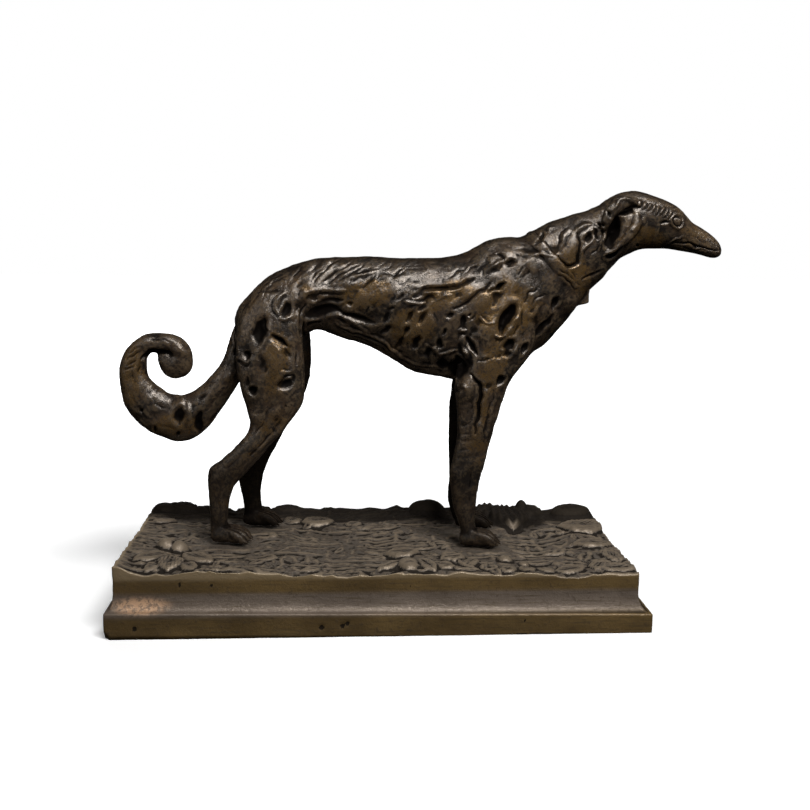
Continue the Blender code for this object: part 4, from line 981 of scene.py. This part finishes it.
def build_plinth():
    half_x, half_y = PLINTH_LENGTH / 2, PLINTH_DEPTH / 2
    nx = round((PLINTH_LENGTH - 2 * MOULDING_INSET) / GROUND_STEP)
    ny = round((PLINTH_DEPTH - 2 * MOULDING_INSET) / GROUND_STEP)
    us, ws = np.linspace(-1, 1, nx + 1), np.linspace(-1, 1, ny + 1)
    rim = ([(u, -1.0) for u in us] + [(1.0, w) for w in ws[1:]]
           + [(u, 1.0) for u in us[::-1][1:]] + [(-1.0, w) for w in ws[::-1][1:-1]])
    rim = np.array(rim)

    def ring_at(inset):
        shift = TOP_TOWARD_TAIL * inset / MOULDING_INSET
        x, y = rim[:, 0] * (half_x - inset), rim[:, 1] * (half_y - inset)
        cx, cy = half_x - inset - CORNER_ROUND, half_y - inset - CORNER_ROUND
        dx, dy = np.abs(x) - cx, np.abs(y) - cy
        corner = (dx > 0) & (dy > 0)
        away = np.maximum(np.hypot(dx, dy), 1e-9)
        x = np.where(corner, np.sign(x) * (cx + dx / away * CORNER_ROUND), x)
        y = np.where(corner, np.sign(y) * (cy + dy / away * CORNER_ROUND), y)
        return x - shift, y

    rings = []
    for inset, height in plinth_profile():
        x, y = ring_at(inset)
        rings.append(np.stack([x, y, height + (moulding_lift(x) if height else 0 * x)], 1))
    x, y = ring_at(MOULDING_INSET)
    foot = SLAB_HEIGHT + MOULDING_HEIGHT + moulding_lift(x)
    top = ground_height(x, y)
    for share in (0.06, 0.18, 0.32, 0.46, 0.60, 0.74, 0.86, 0.95):
        rings.append(np.stack([x, y, foot + share * (top - foot)], 1))
    gu, gw = np.meshgrid(us, ws)
    gx = gu.ravel() * (half_x - MOULDING_INSET) - TOP_TOWARD_TAIL
    gy = gw.ravel() * (half_y - MOULDING_INSET)
    grid = np.stack([gx, gy, ground_height(gx, gy)], 1)
    index = np.arange(len(grid)).reshape(ny + 1, nx + 1)
    border = np.concatenate([index[0, :], index[1:, -1], index[-1, ::-1][1:], index[::-1, 0][1:-1]])
    # The ground's border lies a little further in and lower, so that its edge is worn round.
    grid[border] = np.stack([x * 0.9985, y * 0.997, top - 0.00012], 1)
    places = np.vstack(rings + [grid])
    count, start = len(rim), len(rings) * len(rim)
    faces = []
    for level in range(len(rings) - 1):
        a, b = level * count, (level + 1) * count
        faces += [(a + i, a + (i + 1) % count, b + (i + 1) % count, b + i) for i in range(count)]
    a, edge = (len(rings) - 1) * count, [int(v) for v in start + border]
    faces += [(a + i, a + (i + 1) % count, edge[(i + 1) % count], edge[i]) for i in range(count)]
    cells = np.stack([index[:-1, :-1], index[:-1, 1:], index[1:, 1:], index[1:, :-1]], -1)
    faces += [tuple(int(v) for v in cell) for cell in cells.reshape(-1, 4) + start]
    faces.append(tuple(range(count))[::-1])
    places = age_plinth(places, start)
    made = bpy.data.meshes.new("plinth_ground")
    made.from_pydata([tuple(p) for p in places], [], faces)
    made.update()
    keep_inside(made, "plinth")
    add_values(made, "hollow", hollowness(made, 8))
    add_values(made, "ground", (np.arange(len(places)) >= start).astype(float))
    mark_plinth(made, places)
    made.shade_smooth()
    return placed("plinth_ground", made)


def mark_plinth(mesh, places):
    """Where the plinth's hollow moulding is greyer with a painted sheen, where it is scuffed, where
    painted shadow lies on the ground, and where the rim is painted paler.
    """
    x, y, z = places.T / P
    cove = smooth_step(z, COVE[0], COVE[1]) * smooth_step(z, COVE[3], COVE[2])
    cx, cz, half_x, half_z = SCUFF
    scuffed = 0.85 * smooth_step(np.hypot((x - cx) / half_x, (z - cz) / half_z), 1.0, 0.4)
    scuffed *= smooth_step(y, -48, -50)
    # Painted shadow of the dog along the far edge, and painted shade round the big leaf.
    cx, cy, half_x, half_y = LEAF_SHADE
    round_leaf = smooth_step(np.hypot((x - cx) / half_x, (y - cy) / half_y), 1.0, 0.7)
    shade = np.maximum(0.96 * smooth_step(y, *FAR_SHADE), round_leaf)
    shade *= smooth_step(z, *LEAST_SHADE_HEIGHTS)
    # Painted paler along the ground's rim.
    rim = smooth_step(np.maximum(np.abs(x) - PALER_RIM[0], np.abs(y) - PALER_RIM[1]), 0.2, 1.0)
    rim *= smooth_step(z, 23.0, 25.0)
    for name, values in (("cove", cove), ("scuffed", scuffed), ("shade", shade), ("rim", rim)):
        add_values(mesh, name, values)


def age_plinth(places, sides):
    """Waves, dents and the bitten corner of the cast plinth; the underside stays flat."""
    made = places.copy()
    side = made[:sides]
    rim = 0.006  # nearer than this to a side of the slab, a place belongs to that side
    reach = np.array([PLINTH_LENGTH / 2, PLINTH_DEPTH / 2]) - rim
    out = np.where(np.abs(side[:, :2]) > reach, np.sign(side[:, :2]), 0)
    wave = 0.00010 * soft_noise(side * np.array([60.0, 60.0, 260.0]), 1.0, 31)
    wave += 0.00004 * soft_noise(side * np.array([260.0, 260.0, 500.0]), 1.0, 32) - 0.00010
    side[:, :2] += out * wave[:, None]
    front = side[:, 1] < -PLINTH_DEPTH / 2 + rim
    for cx, cz, radius, depth in FRONT_DENTS:
        away = np.hypot(side[:, 0] / P - cx, side[:, 2] / P - cz) / radius
        side[:, 1] += np.where(front & (side[:, 2] > 0), P * depth * np.clip(1 - away**2, 0, 1), 0)
    centre, radius = np.array(CORNER_CHIP[:3]) * P, CORNER_CHIP[3] * P
    away = np.linalg.norm(made - centre, axis=1)
    inside = (away < radius) & (away > 0)
    pushed = centre + (made - centre) * (radius / np.maximum(away, 1e-9))[:, None]
    flat = made[:, 2] <= 1e-6
    made[inside, :2] = pushed[inside, :2]
    made[inside & ~flat, 2] = np.maximum(pushed[inside & ~flat, 2], 0.0002)
    return made


class Nodes:
    """Short names for building the node tree of a material or the world."""

    def __init__(self, owner):
        self.tree = owner.node_tree
        self.shader = self.tree.nodes.get("Principled BSDF")

    def add(self, kind, **settings):
        node = self.tree.nodes.new(kind)
        for name, value in settings.items():
            setattr(node, name, value)
        return node

    def feed(self, node, values):
        """Links or sets a node's inputs, by name or by number."""
        for name, value in values.items():
            if hasattr(value, "is_output"):
                self.tree.links.new(value, node.inputs[name])
            else:
                node.inputs[name].default_value = value

    def attribute(self, name):
        return self.add("ShaderNodeAttribute", attribute_name=name).outputs["Fac"]

    def noise(self, scale, detail=3.0, rough=0.55, stretch=(1, 1, 1), twist=0.0):
        where = self.add("ShaderNodeTexCoord").outputs["Object"]
        if stretch != (1, 1, 1):
            mapping = self.add("ShaderNodeMapping")
            self.feed(mapping, {"Scale": stretch, "Vector": where})
            where = mapping.outputs["Vector"]
        noise = self.add("ShaderNodeTexNoise")
        self.feed(noise, {"Vector": where, "Scale": scale, "Detail": detail, "Roughness": rough,
                          "Distortion": twist})
        return noise.outputs["Fac"]

    def span(self, value, low, high, to_low=0.0, to_high=1.0, run="SMOOTHSTEP"):
        node = self.add("ShaderNodeMapRange", interpolation_type=run)
        self.feed(node, {"Value": value, "From Min": low, "From Max": high, "To Min": to_low,
                         "To Max": to_high})
        return node.outputs["Result"]

    def math(self, operation, a, b):
        node = self.add("ShaderNodeMath", operation=operation)
        self.feed(node, {0: a, 1: b})
        return node.outputs[0]

    def times(self, a, b):
        return self.math("MULTIPLY", a, b)

    def most(self, a, b):
        return self.math("MAXIMUM", a, b)

    def blend(self, share, a, b):
        node = self.add("ShaderNodeMix", data_type="RGBA")
        self.feed(node, {0: share, 6: a, 7: b})
        return node.outputs[2]

    def relief(self, coarse, coarse_depth, fine, fine_depth):
        """Two grains of bump, the fine one under the coarse one."""
        normal = None
        for height, strength, depth in ((fine, 0.25, fine_depth), (coarse, 0.60, coarse_depth)):
            node = self.add("ShaderNodeBump")
            self.feed(node, {"Strength": strength, "Distance": depth, "Height": height})
            if normal is not None:
                self.feed(node, {"Normal": normal})
            normal = node.outputs["Normal"]
        return normal


def material(name, viewport):
    made = bpy.data.materials.new(name)
    made.use_nodes = True
    made.diffuse_color = viewport
    return made


def brown_bronze():
    """Dark brown patina, worn to gold in patches and nearly black in the hollows, with painted shade
    between the legs, on what faces up and in the upper sides of the pits, gold on the tail, throat and
    cheek that is partly painted light, and darker feet.
    """
    made = material("brown_bronze_patina", (0.085, 0.062, 0.040, 1))
    n = Nodes(made)
    hollow, broad, pressed = n.attribute("hollow"), n.attribute("broad"), n.attribute("pressed")
    clouds = n.noise(75, 5, 0.65, twist=0.4)
    specks = n.noise(800, 5, 0.72, twist=0.6)
    grain = n.noise(2200, 3, 0.6)
    brown = n.times(n.span(clouds, 0.40, 0.58), n.span(specks, 0.60, 0.48, 0.15, 1.0))
    colour = n.blend(brown, (0.009, 0.0065, 0.005, 1), (0.046, 0.029, 0.017, 1))
    # Gold is worn patina; on the tail, throat and cheek it is partly painted light thrown up from
    # below.
    gold = n.math("ADD", n.attribute("golden"), n.times(n.math("SUBTRACT", clouds, 0.5), 2.4))
    gold = n.times(n.span(gold, 0.15, 0.65), n.span(specks, 0.60, 0.51, 0.06, 1.0))
    veins = n.math("ABSOLUTE", n.math("SUBTRACT", n.noise(150, 5, 0.65, twist=0.8), 0.5), 0)
    gold = n.times(gold, n.span(veins, 0.0, 0.035, 0.1, 1.0))
    colour = n.blend(gold, colour, (0.165, 0.096, 0.034, 1))
    worn = n.times(n.span(hollow, -0.01, -0.07), n.span(specks, 0.56, 0.44))
    colour = n.blend(n.times(worn, 0.55), colour, (0.120, 0.085, 0.050, 1))
    dark = n.most(n.span(hollow, 0.03, 0.13, 0.0, 0.8), n.span(broad, 0.10, 0.42, 0.0, 0.9))
    # Pressed hollows go near black: their patina, and painted shade that is heaviest at each pit's
    # deeper upper side.
    dark = n.most(dark, n.span(pressed, 0.25, 1.3))
    # Painted shade between the legs and on what faces up, and the darker feet, go near black.
    dark = n.most(dark, n.attribute("painted_shade_and_dark_feet"))
    colour = n.blend(dark, colour, (0.004, 0.003, 0.0025, 1))
    n.feed(n.shader, {
        "Base Color": colour,
        "IOR": 1.7,
        "Specular Tint": (1.0, 0.89, 0.79, 1),
        "Specular IOR Level": n.span(dark, 0.0, 1.0, 0.5, 0.02),
        "Metallic": n.span(gold, 0.0, 1.0, 0.0, 0.55),
        "Roughness": n.math("ADD", n.span(specks, 0.40, 0.60, 0.23, 0.36), n.times(dark, 0.25)),
        "Normal": n.relief(specks, 0.00032, grain, 0.00010),
    })
    return made


def olive_bronze():
    """Olive brass on the mouldings, greyer with a painted sheen on the hollow one, dull grey-brown and
    dusty on the modelled ground, with painted shadow along its far edge.
    """
    made = material("olive_bronze_patina", (0.150, 0.112, 0.055, 1))
    n = Nodes(made)
    hollow = n.attribute("hollow")
    clouds = n.noise(30, 4, 0.6)
    flecks = n.noise(520, 5, 0.74, twist=0.5)
    grain = n.noise(1900, 3, 0.6)
    drawn = n.noise(60, 4, 0.6, stretch=(1.0, 1.0, 22.0))
    patches = n.span(clouds, 0.35, 0.65)
    band = n.blend(patches, (0.092, 0.058, 0.022, 1), (0.150, 0.096, 0.036, 1))
    # The hollow moulding: greyer patina, made paler as a painted sheen of the light above.
    cove = n.blend(patches, (0.112, 0.087, 0.068, 1), (0.155, 0.122, 0.096, 1))
    band = n.blend(n.attribute("cove"), band, cove)
    band = n.blend(n.span(drawn, 0.48, 0.70, 0.0, 0.6), band, (0.060, 0.042, 0.022, 1))
    band = n.blend(n.span(flecks, 0.52, 0.70, 0.0, 0.6), band, (0.040, 0.028, 0.018, 1))
    scuffs = n.times(n.attribute("scuffed"), n.span(flecks, 0.56, 0.46, 0.25, 1.0))
    band = n.blend(scuffs, band, (0.520, 0.320, 0.190, 1))
    soil = n.blend(patches, (0.078, 0.061, 0.046, 1), (0.114, 0.091, 0.070, 1))
    soil = n.blend(n.span(flecks, 0.47, 0.58, 0.0, 0.85), soil, (0.034, 0.026, 0.020, 1))
    dust = n.times(n.span(hollow, -0.02, 0.04), n.span(flecks, 0.35, 0.6, 0.1, 0.8))
    soil = n.blend(n.times(dust, 0.35), soil, (0.230, 0.205, 0.172, 1))
    shine = n.span(hollow, -0.02, -0.12)
    soil = n.blend(n.times(shine, 0.6), soil, (0.230, 0.180, 0.125, 1))
    colour = n.blend(n.attribute("ground"), band, soil)
    # The ground's rim, painted paler.
    colour = n.blend(n.times(n.attribute("rim"), 0.5), colour, (0.340, 0.260, 0.160, 1))
    off_cove = n.math("SUBTRACT", 1.0, n.attribute("cove"))
    dark = n.times(n.span(hollow, 0.03, 0.14, 0.0, 0.92), off_cove)
    # Painted shadow and shade on the ground, near black.
    dark = n.most(dark, n.times(n.attribute("shade"), 0.95))
    colour = n.blend(dark, colour, (0.010, 0.008, 0.0065, 1))
    n.feed(n.shader, {
        "Base Color": colour,
        "IOR": 1.6,
        "Specular Tint": (1.0, 0.86, 0.72, 1),
        "Specular IOR Level": n.span(dark, 0.0, 1.0, 0.5, 0.06),
        "Metallic": 0.15,
        "Roughness": n.math("ADD", n.span(flecks, 0.35, 0.65, 0.34, 0.46), n.times(dark, 0.3)),
        "Normal": n.relief(flecks, 0.00045, grain, 0.00012),
    })
    return made


def add_floor():
    """A pale floor that glows white away from the plinth and takes a soft shadow beside it."""
    mesh = bpy.data.meshes.new("floor")
    size = 3.0
    corners = [(-size, -size, 0), (size, -size, 0), (size, size, 0), (-size, size, 0)]
    mesh.from_pydata(corners, [], [(0, 1, 2, 3)])
    made = material("pale_floor", (0.9, 0.9, 0.9, 1))
    n = Nodes(made)
    where = n.add("ShaderNodeTexCoord").outputs["Object"]
    half_size = (PLINTH_LENGTH / 2, PLINTH_DEPTH / 2, 0)
    for operation, by in (("ABSOLUTE", (0, 0, 0)), ("SUBTRACT", half_size), ("MAXIMUM", (0, 0, 0))):
        step = n.add("ShaderNodeVectorMath", operation=operation)
        n.feed(step, {0: where, 1: by})
        where = step.outputs[0]
    away = n.add("ShaderNodeVectorMath", operation="LENGTH")
    n.feed(away, {0: where})
    n.feed(n.shader, {
        "Base Color": (0.90, 0.90, 0.90, 1),
        "Roughness": 0.9,
        "Specular IOR Level": 0.0,
        "Emission Color": (1, 1, 1, 1),
        "Emission Strength": n.span(away.outputs["Value"], 0.0, 0.22, 0.22, 1.00),
    })
    mesh.materials.append(made)
    floor = placed("floor", mesh)
    floor.location.z = -0.00002
    floor.visible_glossy = False
    floor.visible_diffuse = False


def add_world():
    """White to the camera; a dim room, lighter overhead, to the bronze."""
    world = bpy.data.worlds.new("studio")
    bpy.context.scene.world = world
    world.use_nodes = True
    n = Nodes(world)
    split = n.add("ShaderNodeSeparateXYZ")
    n.feed(split, {0: n.add("ShaderNodeTexCoord").outputs["Generated"]})
    front = n.span(split.outputs[1], 0.1, -0.9, 0.02, 0.075, "LINEAR")
    above = n.span(split.outputs[2], -0.70, -0.20, 0.10, 1.0, "LINEAR")
    mix = n.add("ShaderNodeMix")
    to_camera = n.add("ShaderNodeLightPath").outputs["Is Camera Ray"]
    n.feed(mix, {0: to_camera, 2: n.times(front, above), 3: 1.0})
    back = n.tree.nodes["Background"]
    n.feed(back, {"Color": (1, 1, 1, 1), "Strength": mix.outputs[0]})


def add_light(name, place, aim, size, power):
    data = bpy.data.lights.new(name, "AREA")
    data.shape = "RECTANGLE"
    data.size, data.size_y = size
    data.energy = power
    lamp = placed(name, data)
    lamp.location = place
    lamp.rotation_euler = (Vector(aim) - Vector(place)).to_track_quat("-Z", "Y").to_euler()
    return lamp


def add_camera():
    turn, down, roll = CAMERA_TURN, CAMERA_DOWN, CAMERA_ROLL
    right = Vector((math.cos(turn), -math.sin(turn), 0))
    level = Vector((math.sin(turn), math.cos(turn), 0))
    ahead = level * math.cos(down) - Vector((0, 0, math.sin(down)))
    up = Vector((0, 0, math.cos(down))) + level * math.sin(down)
    rolled_right = right * math.cos(roll) + up * math.sin(roll)
    rolled_up = up * math.cos(roll) - right * math.sin(roll)
    data = bpy.data.cameras.new("camera")
    data.lens = LENS
    data.sensor_width = 36.0
    data.clip_start = 0.01
    camera = placed("camera", data)
    aim = Matrix((rolled_right, rolled_up, -ahead)).transposed().to_4x4()
    camera.matrix_world = Matrix.Translation(CAMERA_PLACE) @ aim
    bpy.context.scene.camera = camera


def main():
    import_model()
    dog = build_dog()
    dog.data.materials.clear()
    dog.data.materials.append(brown_bronze())
    plinth = build_plinth()
    plinth.data.materials.append(olive_bronze())
    for piece, node, slot in ((dog, "borzoi", "brown_bronze"), (plinth, "plinth", "olive_bronze")):
        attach(piece, "root")
        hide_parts(node)
    add_floor()
    add_world()
    middle = (0.01, 0.0, 0.09)
    add_light("overhead", (0.26, -0.50, 0.80), middle, (0.42, 0.36), 9.5)
    add_light("front_left", (-0.80, -0.60, 0.45), middle, (0.30, 0.30), 0.8)
    behind = add_light("behind", (-0.25, 1.20, 0.50), middle, (1.30, 0.80), 10.0)
    behind.visible_glossy = False
    add_camera()
    view = bpy.context.scene.view_settings
    view.view_transform = "Standard"
    view.look = "None"


main()
